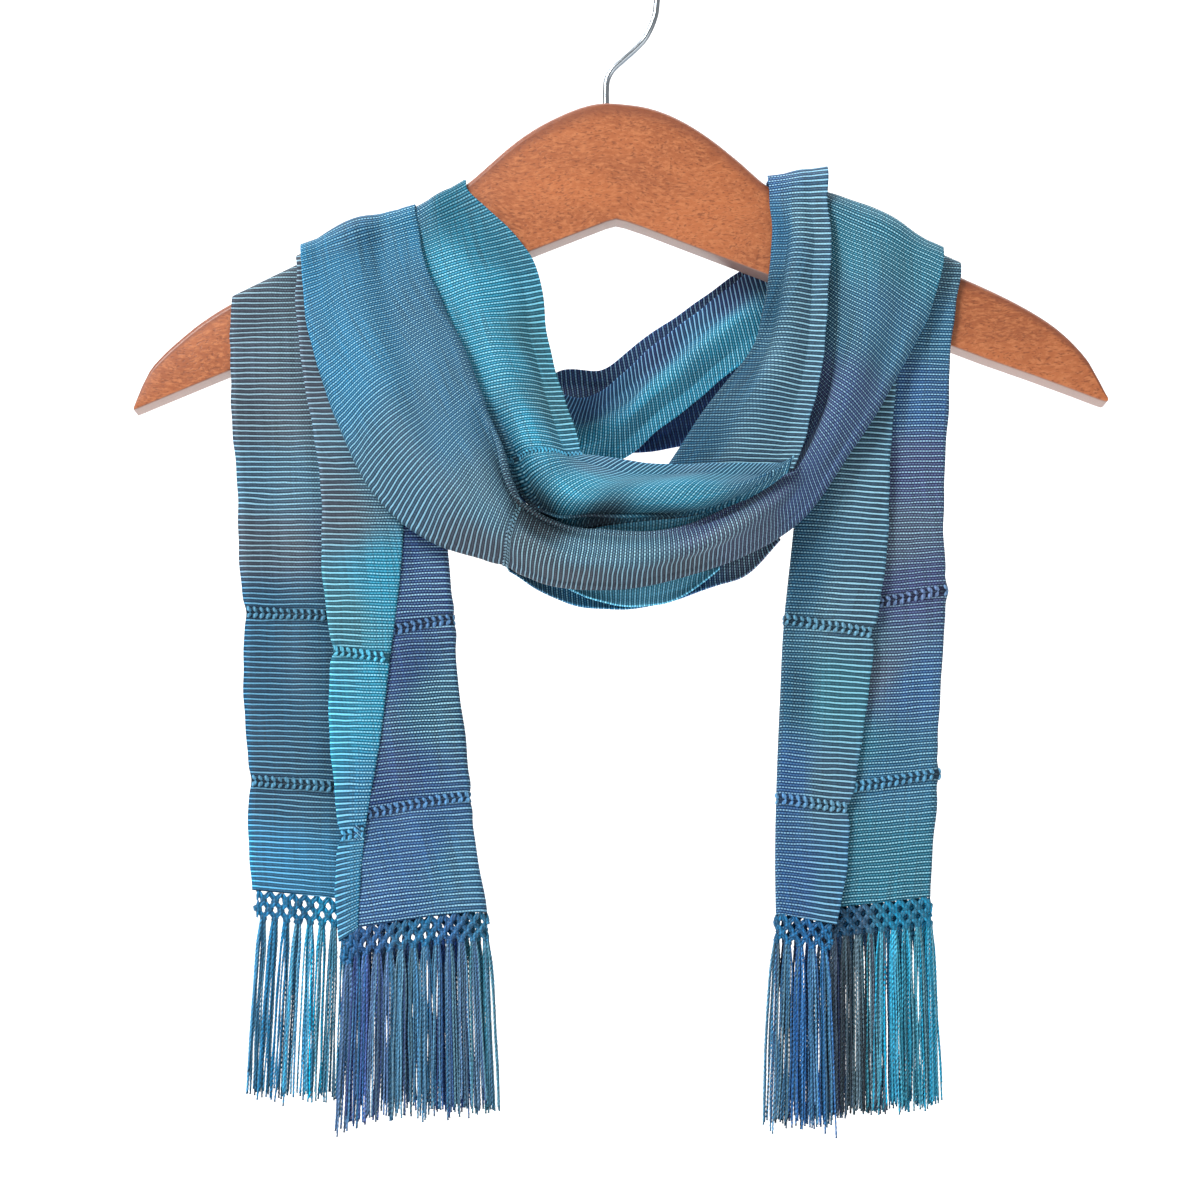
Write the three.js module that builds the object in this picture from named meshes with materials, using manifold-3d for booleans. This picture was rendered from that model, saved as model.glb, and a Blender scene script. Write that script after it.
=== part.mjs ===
import * as THREE from 'three';
import Module from 'manifold-3d';

const wasm = await Module();
wasm.setup();

// Named sizes, in millimetres. X to the wearer's left, Y to the back, Z up.
const WALL = 1.1; // cloth
const LIP = 8; // strip along a cloth edge that can curl to the back
const SEAM = 0.3; // clearance where one stretch of cloth goes on as the next
const BOARD = 16; // hanger thickness
const ROUNDING = 3; // softened edge of the hanger
const OVER = 11; // how far the cloth runs down behind the hanger's arm
const ROD = 3; // hook wire diameter
const HOOK_RADIUS = 21.6; // hook bend, to the wire's centre line
const SOCKET = 18; // depth of the hook's hole in the wood
const SOCKET_RADIUS = 1.9;
const SHANK = { x: -2.6, z: -77.9 }; // where the hook's shank enters the wood
const HEM_BAND = 11.5; // height of the knotted band below the hem
const BAND_WALL = 1.6;
const STRAND_RADIUS = 0.6;

const COLOURS = {
  wood: 0xa8562b,
  metal: 0xb9bdc2,
  steelBlue: 0x3f7390,
  turquoise: 0x2f8fae,
  slate: 0x5d7389,
  violet: 0x565a85,
  navy: 0x2d4d78,
  teal: 0x23708a,
};

// Turns a list of column names and rows of numbers into row objects.
function table(names, rows) {
  const keys = names.split(' ');
  return rows.map((row) => Object.fromEntries(keys.map((key, i) => [key, row[i]])));
}

// Outer swath of the cowl, from the ridge of the left arm to the ridge of the right arm.
const OUTER = table(
  'inX inY inZ outX outY outZ bow inCurl outCurl',
  [
    [-89.1, 0, -125.3, -140.3, 0, -144.4, 3, 0, 0],
    [-87.1, -10.5, -138.9, -139.6, -16.5, -156.8, 2, 0, 0],
    [-84.1, -14, -153.5, -137.5, -18, -177.2, 4, 0, 20],
    [-77, -19, -172, -132.2, -20, -200.4, 6, 60, 50],
    [-69.6, -24, -189.8, -122.8, -22, -227, 8, 120, 90],
    [-60.8, -30, -213.1, -108.2, -24, -257.9, 9, 150, 120],
    [-49.9, -35, -236.9, -80.4, -27, -282, 9, 160, 150],
    [-39.6, -38, -264.1, -47.6, -31, -294.1, 7, 165, 160],
    [-21.6, -38, -275.1, -28.2, -33, -302.3, 9, 165, 160],
    [2.9, -37, -279, -0.1, -34, -304.7, 10, 165, 160],
    [34.1, -35, -275.6, 34.1, -33, -297.9, 10, 165, 160],
    [58.6, -28.5, -261.7, 60.6, -31, -287.9, 9, 110, 160],
    [78.3, -19, -240.9, 83.8, -27, -271.3, 5, 60, 150],
    [89.2, -18.3, -216.4, 105.5, -25, -240.6, 5, 20, 130],
    [93, -18, -194.5, 120, -23.5, -218.7, 5, 0, 110],
    [94.1, -17, -171.6, 131.6, -21, -198.3, 4, 0, 80],
    [93.5, -15.5, -148.4, 141.8, -19, -177.5, 3, 0, 40],
    [91.4, -15, -132.2, 147.6, -17, -159.7, 2, 0, 0],
    [91.1, 0, -116.5, 149.5, 0, -146.2, 2, 0, 0],
  ],
);

// Inner swath of the cowl, from the ridge of the left arm to the dart at the right.
const INNER = table(
  'inX inY inZ outX outY outZ bow inCurl outCurl',
  [
    [-86.4, 0, -124.9, -66, 0, -113.2, 0.5, 0, 0],
    [-85.8, -9.6, -138.7, -56.5, -9.6, -127.2, 0.5, 0, 0],
    [-82.5, -10.5, -152.7, -42, -10, -142, 2, 0, 0],
    [-76.9, -12.5, -169.7, -33.3, -10.5, -158.3, 3, 0, 0],
    [-71.3, -15, -188, -29.2, -11, -184, 5, 0, 0],
    [-63.4, -20, -208.5, -24.2, -13, -206.3, 6, 0, 0],
    [-52.5, -25, -229.8, -17.9, -17, -226.1, 6, 0, 0],
    [-44.8, -27.5, -244.1, -11.6, -22, -241.8, 6, 30, 0],
    [-35.4, -30, -260.6, -0.1, -26, -244.8, 7, 80, 0],
    [-22.1, -35, -270.3, 13.6, -30, -247.6, 7, 130, 0],
    [-2.8, -41, -272.9, 31.7, -32, -248.9, 7, 160, 0],
    [18.2, -42, -273.5, 48.4, -33, -248.1, 7, 165, 0],
    [40.6, -39.5, -271.8, 63.8, -33, -248.1, 6, 130, 0],
    [60.5, -36.5, -262, 74.4, -32.5, -248.1, 4, 60, 0],
    [77.8, -34, -251.9, 79.8, -31.8, -245.3, 1, 10, 0],
  ],
);

// Strip of the cowl that rises at the right and goes over the hanger.
const RISE = table(
  'inX inY inZ outX outY outZ bow inCurl outCurl',
  [
    [70.7, 0, -111.8, 97.6, 0, -109, 0.5, 0, 0],
    [71, -10.5, -125.6, 97.1, -18.5, -127.5, 1, 0, 0],
    [71.7, -12, -141.1, 98.2, -20, -144.8, 2, 20, 0],
    [69.7, -14, -159.5, 97, -22, -164, 3, 60, 0],
    [66.8, -16, -175.9, 95.8, -24, -184.4, 4, 120, 0],
    [62.7, -16.5, -192, 92.8, -26.5, -205.3, 5, 140, 0],
    [49.1, -17, -210.2, 88.1, -28.5, -225, 6, 120, 0],
    [34.7, -17.5, -229.4, 84.9, -28.5, -238.9, 5, 90, 0],
    [22.7, -18, -248, 80, -28, -249.6, 3, 60, 0],
  ],
);

// Back swath next to the neck: from the cowl at the left to the right tail.
const BACK_LOW = table(
  'inX inY inZ outX outY outZ bow inCurl outCurl',
  [
    [-65, 12, -128.5, -141.6, 16.5, -159.5, 0, 0, 0],
    [-57.8, 17, -146.6, -122.4, 20, -184.7, -2, 0, 0],
    [-43.1, 22, -175, -92.6, 25, -218.7, -3, 0, 0],
    [-27, 26, -204.6, -55.9, 28, -241.5, -4, 0, 0],
    [-11.8, 28, -207.5, -23.8, 30, -245.8, -4, 0, 0],
    [3.8, 28, -197.7, 6.6, 30, -235.1, -4, 0, 0],
    [14.4, 27, -188, 19.9, 29, -224.1, -4, 0, 0],
    [28.2, 25, -176.7, 35.5, 27, -212.8, -4, 0, 0],
    [46.1, 21.5, -163.4, 51.5, 23, -199.1, -3, 0, 0],
    [63.5, 17, -151.3, 73.4, 18, -185.1, -2, 0, 0],
    [79.4, 13, -140.5, 104.3, 13.5, -176.3, -1, 0, 0],
    [91.6, 10.7, -136.3, 157.6, 10.7, -166.4, 0, 0, 0],
  ],
);

// Back swath outside it: from the left tail to the cowl at the right.
const BACK_HIGH = table(
  'inX inY inZ outX outY outZ bow inCurl outCurl',
  [
    [-113.3, 10.7, -150.3, -172.3, 10.7, -181, 0, 0, 0],
    [-108.7, 13, -179.1, -159.5, 13.5, -209.2, -1, 0, 0],
    [-95.9, 17, -213.2, -134, 18, -242.2, -2, 0, 0],
    [-76.4, 25, -239.2, -101.5, 26, -268.7, -2, 0, 0],
    [-56, 33, -247.2, -66.1, 34, -271.7, -2, 0, 0],
    [-37.8, 37, -221.3, -41.4, 38, -257.6, -3, 0, 0],
    [-24, 38, -192.9, -20.2, 39, -230.3, -4, 0, 0],
    [-4.5, 38, -192.9, 0.2, 39, -232.2, -4, 0, 0],
    [14.6, 37, -178.5, 25.1, 38.5, -230.4, -4, 0, 0],
    [38.6, 34, -162.1, 49.1, 36.5, -223.3, -4, 0, 0],
    [64.9, 28, -144.1, 79.5, 31, -205.5, -3, 0, 0],
    [76.6, 20.5, -129.8, 117.9, 22.6, -165, -1, 0, 0],
    [71.6, 12.5, -126.5, 151.1, 17.5, -161.4, 0, 0, 0],
  ],
);

// Pleat of the cowl that turns under the inner swath and hangs below the outer one.
const PLEAT = table(
  'inX inY inZ outX outY outZ bow inCurl outCurl',
  [
    [-32.8, -25.5, -266.6, -22.6, -23, -301.5, 1, 0, 60],
    [-9.8, -26.5, -265, -6.3, -24, -307.9, 2, 0, 90],
    [14.5, -27, -263.7, 13.1, -24, -310.6, 2, 0, 90],
    [38.8, -26.5, -260.1, 30.8, -23.5, -305.6, 2, 0, 90],
    [51.3, -24.8, -256.2, 46.8, -23, -293.5, 1, 0, 60],
  ],
);

// Turned-under layer of the cowl behind that pleat.
const UNDER = table(
  'inX inY inZ outX outY outZ bow inCurl outCurl',
  [
    [-56.9, -19.6, -271.6, -45.7, -19.6, -295.3, 1, 0, 60],
    [-36.5, -19.6, -280.5, -33.3, -19.6, -302.9, 1, 0, 60],
    [-18.7, -19.6, -284.1, -17.8, -19.6, -310, 1, 0, 60],
    [-2.7, -19.6, -285, -2.7, -19.6, -312.3, 1, 0, 60],
    [13.2, -19.6, -284.1, 14.1, -19.6, -310.5, 1, 0, 60],
    [31.9, -19.6, -282.8, 32.7, -19.6, -305.1, 1, 0, 60],
    [45.2, -19.6, -276.1, 46, -19.6, -300.7, 1, 0, 60],
    [57.7, -19.2, -269.3, 58.4, -19.2, -296.6, 1, 0, 60],
    [67.5, -18.8, -260.2, 74.1, -18.8, -280.4, 0.5, 0, 60],
  ],
);

// Left tail: back layer from its selvedge to the fold, front layer back to the other selvedge.
const TAIL_LEFT = table(
  'inX inY inZ outX outY outZ pleat free near far drop',
  [
    [-171.4, 0, -167.5, -112.7, 0, -137.9, 0.91, 0.51, 1.8, 3.7, 0],
    [-171.6, -9.2, -178.2, -109.2, -9.2, -147.8, 0.91, 0.47, 1.8, 3.7, 2],
    [-171.9, -9.3, -190.5, -96.4, -9.3, -174.5, 0.89, 0.42, 2.4, 4.5, 12],
    [-171.1, -9, -215.6, -86.3, -9, -211, 0.88, 0.44, 3.2, 5.2, 18],
    [-168.5, -8.8, -247.4, -78, -8.8, -249.2, 0.83, 0.43, 3.8, 5.8, 20],
    [-166.8, -8.6, -279, -73.8, -8.6, -282.2, 0.77, 0.41, 4, 6, 20],
    [-164.6, -8.4, -311.4, -70.9, -8.4, -315.4, 0.70, 0.42, 4, 5.9, 20],
    [-163.7, -8.2, -346.3, -67.2, -8.2, -351.6, 0.63, 0.40, 4, 5.5, 20],
    [-161.4, -8, -386.3, -63, -8, -394.3, 0.53, 0.41, 4, 5.1, 20],
    [-160.7, -8, -412.9, -59.3, -8, -420, 0.49, 0.38, 4, 4.8, 20],
    [-159.5, -8, -434.9, -56.1, -8, -445.1, 0.46, 0.38, 4, 4.6, 19],
  ],
);

// Right tail: three layers between the left fold and the right fold.
const TAIL_RIGHT = table(
  'inX inY inZ outX outY outZ hidden free near far drop',
  [
    [91.1, 0, -124.4, 157.1, 0, -153.6, 0.26, 0.55, 1.8, 3.6, 0],
    [90.4, -9, -136.7, 156, -9, -164.4, 0.26, 0.56, 1.8, 3.6, 1],
    [89.8, -9, -156.1, 154.6, -9, -173.5, 0.26, 0.59, 2, 4, 4],
    [88.1, -9, -201.9, 151, -9, -208.8, 0.25, 0.61, 2.6, 5.2, 9],
    [84.2, -9, -242.9, 148.7, -9, -243.8, 0.26, 0.61, 3, 6, 12],
    [80.4, -8.8, -281.3, 148.4, -8.8, -274.5, 0.26, 0.61, 3.2, 6.4, 13],
    [76.6, -8.6, -315.9, 148.1, -8.6, -302, 0.28, 0.56, 3.2, 6.4, 13.5],
    [74.6, -8.4, -350.8, 146.3, -8.4, -340.9, 0.26, 0.53, 3.2, 6.4, 11],
    [72.6, -8.2, -395.2, 143.6, -8.2, -383.7, 0.26, 0.46, 3.2, 6.4, 9.5],
    [72, -8, -421.7, 141.9, -8, -411.1, 0.26, 0.45, 3.2, 6.4, 8.5],
    [72.2, -8, -445.9, 140.3, -8, -438, 0.25, 0.38, 3.2, 6.4, 7.5],
  ],
);
// The hanger's board in upright sections from tip to tip: top and bottom edge at each place.
const BOARD_SECTIONS = table(
  'x top bottom',
  [
    [-214.9, -218.6, -219.8],
    [-213.5, -214.1, -219.4],
    [-211.3, -208.1, -218.5],
    [-208.3, -201.9, -217.2],
    [-202.6, -194.9, -214.8],
    [-194.6, -187.3, -211.4],
    [-187, -180.9, -208.2],
    [-178.5, -174.9, -204.6],
    [-170.5, -170.1, -201.3],
    [-140.4, -154.6, -189.1],
    [-110.3, -139.3, -176.9],
    [-91.8, -130, -169.4],
    [-77.8, -122.8, -163.8],
    [-64.3, -114.4, -158.3],
    [-55.3, -106.4, -154.7],
    [-47.1, -99, -151.4],
    [-39.4, -93, -148.2],
    [-32.6, -88.6, -145.5],
    [-25.8, -85, -142.8],
    [-16.8, -81, -139.2],
    [-7.2, -78.3, -135.4],
    [-2.6, -77.9, -133.6],
    [1.8, -78.1, -132.4],
    [6.2, -78.5, -133.4],
    [14.6, -79.7, -136.3],
    [26.4, -83.6, -140.9],
    [41.8, -92.5, -146.9],
    [57.2, -104.8, -152.9],
    [69.5, -115.8, -157.7],
    [85.1, -125, -163.9],
    [110.8, -136.9, -174],
    [130.2, -146.1, -181.7],
    [153.1, -156.7, -190.7],
    [167.9, -163.4, -196.4],
    [179.1, -168.9, -200.4],
    [190.3, -175.2, -204.4],
    [201, -182.7, -208.4],
    [209.4, -190.8, -211.6],
    [215.1, -198.1, -213.8],
    [219.5, -206.4, -215.5],
    [221.9, -211.9, -216.2],
    [223, -214.2, -215.6],
  ],
);

// Catmull-Rom value between b and c.
function blend(a, b, c, d, t) {
  const m0 = (c - a) / 2;
  const m1 = (d - b) / 2;
  const t2 = t * t;
  const t3 = t2 * t;
  return (2 * t3 - 3 * t2 + 1) * b + (t3 - 2 * t2 + t) * m0 + (3 * t2 - 2 * t3) * c + (t3 - t2) * m1;
}

// Rows between the rows: `steps` from each row to the next.
function refine(rows, steps) {
  const last = rows.length - 1;
  const fine = [];
  for (let i = 0; i < last; i += 1) {
    const four = [rows[Math.max(i - 1, 0)], rows[i], rows[i + 1], rows[Math.min(i + 2, last)]];
    for (let k = 0; k < steps; k += 1) {
      const row = {};
      for (const key of Object.keys(rows[0])) {
        row[key] = blend(...four.map((r) => r[key]), k / steps);
      }
      fine.push(row);
    }
  }
  fine.push({ ...rows[last] });
  return fine;
}

// Puts the stretch that goes over the hanger's arm in front of a piece's first row,
// which lies on the ridge. `front` is the row where the piece meets the board's front.
function overArm(ridge, front) {
  const profile = [
    [1, OVER],
    [1, 4.5],
    [0.86, 1.2],
    [0.5, 0.1],
    [-0.5, 0.1],
    [-0.86, 1.2],
    [-1, 4.5],
  ];
  return profile.map(([side, fall]) => ({
    ...ridge,
    inY: -side * front.inY,
    outY: -side * front.outY,
    inZ: ridge.inZ - fall,
    outZ: ridge.outZ - fall,
  }));
}

function mid(row) {
  return new THREE.Vector3(row.inX + row.outX, row.inY + row.outY, row.inZ + row.outZ).divideScalar(2);
}

// Local frame of each section: across the cloth, along it, and outwards from the wood.
function frames(rows, sign) {
  return rows.map((row, i) => {
    const inner = new THREE.Vector3(row.inX, row.inY, row.inZ);
    const outer = new THREE.Vector3(row.outX, row.outY, row.outZ);
    const across = outer.clone().sub(inner);
    const width = across.length();
    across.normalize();
    const before = mid(rows[Math.max(i - 1, 0)]);
    const after = mid(rows[Math.min(i + 1, rows.length - 1)]);
    const along = after.sub(before).normalize();
    const out = across.clone().cross(along).multiplyScalar(sign).normalize();
    return { row, inner, outer, across, width, along, out };
  });
}

// How far a lip of the given curl reaches past the point where it starts.
function lipReach(curl) {
  const angle = Math.max(THREE.MathUtils.degToRad(curl), 0.01);
  const radius = LIP / angle;
  return angle < Math.PI / 2 ? radius * Math.sin(angle) : radius;
}

// Offsets of a lip's points: past the edge, and to the back.
function lipPoints(curl, count) {
  const angle = Math.max(THREE.MathUtils.degToRad(curl), 0.01);
  const radius = LIP / angle;
  return Array.from({ length: count }, (_, k) => {
    const a = (angle * (k + 1)) / count;
    return [radius * Math.sin(a), radius * (1 - Math.cos(a))];
  });
}

// Points of an open swath: a bowed span between two edges, each with a lip that may curl.
function swathGrid(rows, sign, spans, folds = []) {
  return frames(rows, sign).map(({ row, inner, outer, across, width, out }, i) => {
    const start = inner.clone().addScaledVector(across, lipReach(row.inCurl));
    const end = outer.clone().addScaledVector(across, -lipReach(row.outCurl));
    const line = [];
    for (const [past, back] of lipPoints(row.inCurl, 4).reverse()) {
      line.push(start.clone().addScaledVector(across, -past).addScaledVector(out, -back));
    }
    const v = i / (rows.length - 1);
    for (let k = 0; k <= spans; k += 1) {
      const u = k / spans;
      let depth = row.bow * Math.sin(Math.PI * u);
      for (const fold of folds) {
        const share = Math.exp(-(((u - fold.at - fold.drift * v) / fold.half) ** 2));
        const fade = Math.sin(Math.PI * THREE.MathUtils.smoothstep(v, fold.from, fold.to));
        depth += fold.depth * share * fade;
      }
      line.push(start.clone().lerp(end, u).addScaledVector(out, depth));
    }
    for (const [past, back] of lipPoints(row.outCurl, 4)) {
      line.push(end.clone().addScaledVector(across, past).addScaledVector(out, -back));
    }
    return line;
  });
}

// Half-circle of a fold, from the lower layer to the upper one.
function turn(u, from, to, side, width) {
  const radius = (to - from) / 2;
  return [1, 2, 3, 4].map((k) => {
    const a = (Math.PI * k) / 5;
    return [u + (side * radius * Math.sin(a)) / width, from + radius * (1 - Math.cos(a)), 0];
  });
}

function run(from, to, depthFrom, depthTo, count) {
  return Array.from({ length: count + 1 }, (_, k) => {
    const t = k / count;
    return [from + (to - from) * t, depthFrom + (depthTo - depthFrom) * t];
  });
}

// Left tail's section as [place across, height off the back layer, share of the drop].
function leftPath(row, width) {
  const wave = (u) => 0.03 * row.drop * Math.sin(9 * u + row.inZ / 60);
  const step = 2.2 / width;
  const flat = 1 - (row.near / 2) / width;
  const back = run(0, flat, 0, 0, 10).map(([u, h]) => [u, h + wave(u) * (1 - u), 0]);
  const fold = turn(flat, 0, row.near, 1, width);
  const middle = run(flat, row.pleat + step, row.near, row.near, 4);
  const front = run(row.pleat, row.free, row.far, row.far, 5);
  const drop = ([u, h]) => [u, h, (flat - u) / (flat - row.free)];
  return [...back, ...fold, ...middle.map(drop), ...front.map(drop)];
}

// Right tail's section: hidden layer, right fold, middle layer, left fold, front layer.
function rightPath(row, width) {
  const right = 1 - (row.near / 2) / width;
  const left = ((row.far - row.near) / 2) / width;
  const hidden = run(row.hidden, right, 0, 0, 7).map(([u, h]) => [u, h, 0]);
  const middle = run(right, left, row.near, row.near, 9).map(([u, h]) => [u, h, 0]);
  const front = run(left, row.free, row.far, row.far, 5);
  const drop = ([u, h]) => [u, h, (u - left) / (row.free - left)];
  return [
    ...hidden,
    ...turn(right, 0, row.near, 1, width),
    ...middle,
    ...turn(left, row.near, row.far, -1, width),
    ...front.map(drop),
  ];
}

function tailGrid(rows, sign, path) {
  return frames(rows, sign).map(({ row, inner, across, width, out }) => {
    return path(row, width).map(([u, height, share]) => {
      const point = inner.clone().addScaledVector(across, u * width).addScaledVector(out, height);
      point.z -= row.drop * share;
      return point;
    });
  });
}

// Surface direction at each point of a grid.
function gridNormals(grid) {
  const rows = grid.length;
  const cols = grid[0].length;
  return grid.map((line, i) =>
    line.map((_, j) => {
      const up = grid[Math.max(i - 1, 0)][j];
      const down = grid[Math.min(i + 1, rows - 1)][j];
      const left = line[Math.max(j - 1, 0)];
      const right = line[Math.min(j + 1, cols - 1)];
      const a = down.clone().sub(up);
      const b = right.clone().sub(left);
      return a.cross(b).normalize();
    }),
  );
}

// Closed wall of the given thickness round a grid of points.
function wall(grid, thickness) {
  const rows = grid.length;
  const cols = grid[0].length;
  const normals = gridNormals(grid);
  const positions = [];
  for (const side of [0.5, -0.5]) {
    grid.forEach((line, i) =>
      line.forEach((point, j) => {
        const p = point.clone().addScaledVector(normals[i][j], side * thickness);
        positions.push(p.x, p.y, p.z);
      }),
    );
  }
  const at = (layer, i, j) => layer * rows * cols + i * cols + j;
  const faces = [];
  const quad = (a, b, c, d) => faces.push(a, b, c, a, c, d);
  for (let i = 0; i < rows - 1; i += 1) {
    for (let j = 0; j < cols - 1; j += 1) {
      quad(at(0, i, j), at(0, i + 1, j), at(0, i + 1, j + 1), at(0, i, j + 1));
      quad(at(1, i, j), at(1, i, j + 1), at(1, i + 1, j + 1), at(1, i + 1, j));
    }
    quad(at(0, i, 0), at(1, i, 0), at(1, i + 1, 0), at(0, i + 1, 0));
    quad(at(0, i, cols - 1), at(0, i + 1, cols - 1), at(1, i + 1, cols - 1), at(1, i, cols - 1));
  }
  for (let j = 0; j < cols - 1; j += 1) {
    quad(at(0, 0, j), at(0, 0, j + 1), at(1, 0, j + 1), at(1, 0, j));
    quad(at(0, rows - 1, j), at(1, rows - 1, j), at(1, rows - 1, j + 1), at(0, rows - 1, j + 1));
  }
  return toGeometry(new Float32Array(positions), new Uint32Array(faces));
}

// Indexed geometry with its faces turned outwards.
function toGeometry(positions, faces) {
  let volume = 0;
  const a = new THREE.Vector3();
  const b = new THREE.Vector3();
  const c = new THREE.Vector3();
  for (let f = 0; f < faces.length; f += 3) {
    a.fromArray(positions, faces[f] * 3);
    b.fromArray(positions, faces[f + 1] * 3);
    c.fromArray(positions, faces[f + 2] * 3);
    volume += a.dot(b.cross(c)) / 6;
  }
  if (volume < 0) {
    for (let f = 0; f < faces.length; f += 3) {
      const swap = faces[f + 1];
      faces[f + 1] = faces[f + 2];
      faces[f + 2] = swap;
    }
  }
  const geometry = new THREE.BufferGeometry();
  geometry.setAttribute('position', new THREE.BufferAttribute(positions, 3));
  geometry.setIndex(new THREE.BufferAttribute(faces, 1));
  return geometry;
}

// Geometry to a manifold solid, with equal points joined.
function toSolid(geometry) {
  const source = geometry.getAttribute('position');
  const index = geometry.getIndex();
  const found = new Map();
  const points = [];
  const corners = index ? index.count : source.count;
  const faces = [];
  for (let k = 0; k < corners; k += 1) {
    const v = index ? index.getX(k) : k;
    const p = [source.getX(v), source.getY(v), source.getZ(v)];
    const key = p.map((n) => Math.round(n * 1000)).join();
    if (!found.has(key)) {
      found.set(key, points.length / 3);
      points.push(...p);
    }
    faces.push(found.get(key));
  }
  const kept = [];
  for (let f = 0; f < faces.length; f += 3) {
    const [i, j, k] = faces.slice(f, f + 3);
    if (i !== j && j !== k && i !== k) {
      kept.push(i, j, k);
    }
  }
  const mesh = new wasm.Mesh({
    numProp: 3,
    vertProperties: new Float32Array(points),
    triVerts: new Uint32Array(kept),
  });
  return new wasm.Manifold(mesh);
}

function fromSolid(solid) {
  const mesh = solid.getMesh();
  return toGeometry(new Float32Array(mesh.vertProperties), new Uint32Array(mesh.triVerts));
}

// Corner points of a board section, softer along the top edges than below.
function boardSection({ x, top, bottom }) {
  const height = top - bottom;
  const upper = Math.min(ROUNDING, 0.35 * height);
  const lower = Math.min(ROUNDING / 3, 0.2 * height);
  const half = BOARD / 2;
  const corner = (side, end, radius, from) =>
    [0, 45, 90].map((step) => {
      const a = THREE.MathUtils.degToRad(from + step);
      const y = side * (half - radius) + radius * Math.cos(a);
      return [x, y, end + radius * Math.sin(a)];
    });
  return [
    ...corner(1, top - upper, upper, 0),
    ...corner(-1, top - upper, upper, 90),
    ...corner(-1, bottom + lower, lower, 180),
    ...corner(1, bottom + lower, lower, 270),
  ];
}

function hangerBody() {
  const sections = BOARD_SECTIONS.map(boardSection);
  const size = sections[0].length;
  const faces = [];
  for (let i = 0; i < sections.length - 1; i += 1) {
    for (let j = 0; j < size; j += 1) {
      const a = i * size + j;
      const b = i * size + ((j + 1) % size);
      faces.push(a, b, b + size, a, b + size, a + size);
    }
  }
  const last = (sections.length - 1) * size;
  for (let j = 1; j < size - 1; j += 1) {
    faces.push(0, j + 1, j, last, last + j, last + j + 1);
  }
  const board = toGeometry(new Float32Array(sections.flat(2)), new Uint32Array(faces));
  const socket = wasm.Manifold.cylinder(SOCKET + 10, SOCKET_RADIUS, SOCKET_RADIUS, 16);
  const placed = socket.translate([SHANK.x, 0, SHANK.z - SOCKET]);
  return fromSolid(toSolid(board).subtract(placed));
}

function hangerHook() {
  const centre = { x: 0.2, z: ROD / 2 - HOOK_RADIUS };
  const points = [
    new THREE.Vector3(SHANK.x, 0, SHANK.z - SOCKET + SEAM),
    new THREE.Vector3(SHANK.x, 0, SHANK.z),
    new THREE.Vector3(-2.6, 0, -70),
    new THREE.Vector3(-2.2, 0, -65.6),
    new THREE.Vector3(0, 0, -61.2),
    new THREE.Vector3(4.7, 0, -56.6),
    new THREE.Vector3(10.2, 0, -51.6),
    new THREE.Vector3(14.5, 0, -47),
    new THREE.Vector3(17.6, 0, -41.5),
    new THREE.Vector3(19.9, 0, -35),
  ];
  for (let degrees = -16; degrees <= 190; degrees += 20.5) {
    const a = THREE.MathUtils.degToRad(degrees);
    const x = centre.x + HOOK_RADIUS * Math.cos(a);
    const z = centre.z + HOOK_RADIUS * Math.sin(a);
    points.push(new THREE.Vector3(x, 0, z));
  }
  const wire = new THREE.Shape();
  wire.absarc(0, 0, ROD / 2, 0, 2 * Math.PI, false);
  return fromSolid(
    toSolid(
      new THREE.ExtrudeGeometry(wire, {
        steps: 32,
        curveSegments: 4,
        extrudePath: new THREE.CatmullRomCurve3(points),
      }),
    ),
  );
}

// Repeatable numbers between -1 and 1.
function wobble(k) {
  const s = Math.sin(k * 12.9898 + 4.1) * 43758.5453;
  return 2 * (s - Math.floor(s)) - 1;
}

// Three-sided strand from its root to its loose end.
function strand(root, end, sway) {
  const sides = 3;
  const levels = [0, 0.5, 1];
  const positions = [];
  for (const t of levels) {
    const centre = root.clone().lerp(end, t);
    centre.x += sway * Math.sin(Math.PI * t);
    const radius = STRAND_RADIUS * (t === 1 ? 0.8 : 1);
    for (let s = 0; s < sides; s += 1) {
      const a = (2 * Math.PI * s) / sides + Math.PI / 6;
      positions.push(centre.x + radius * Math.cos(a), centre.y + radius * Math.sin(a), centre.z);
    }
  }
  const faces = [0, 2, 1];
  for (let l = 0; l < levels.length - 1; l += 1) {
    for (let s = 0; s < sides; s += 1) {
      const a = l * sides + s;
      const b = l * sides + ((s + 1) % sides);
      faces.push(a, b, b + sides, a, b + sides, a + sides);
    }
  }
  const top = (levels.length - 1) * sides;
  faces.push(top, top + 1, top + 2);
  return toSolid(toGeometry(new Float32Array(positions), new Uint32Array(faces)));
}

// Point at a share of a line's length.
function along(line, share) {
  const lengths = [0];
  for (let k = 1; k < line.length; k += 1) {
    lengths.push(lengths[k - 1] + line[k].distanceTo(line[k - 1]));
  }
  const goal = share * lengths[lengths.length - 1];
  let k = 1;
  while (k < lengths.length - 1 && lengths[k] < goal) {
    k += 1;
  }
  const t = (goal - lengths[k - 1]) / (lengths[k] - lengths[k - 1]);
  return line[k - 1].clone().lerp(line[k], t);
}

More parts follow.
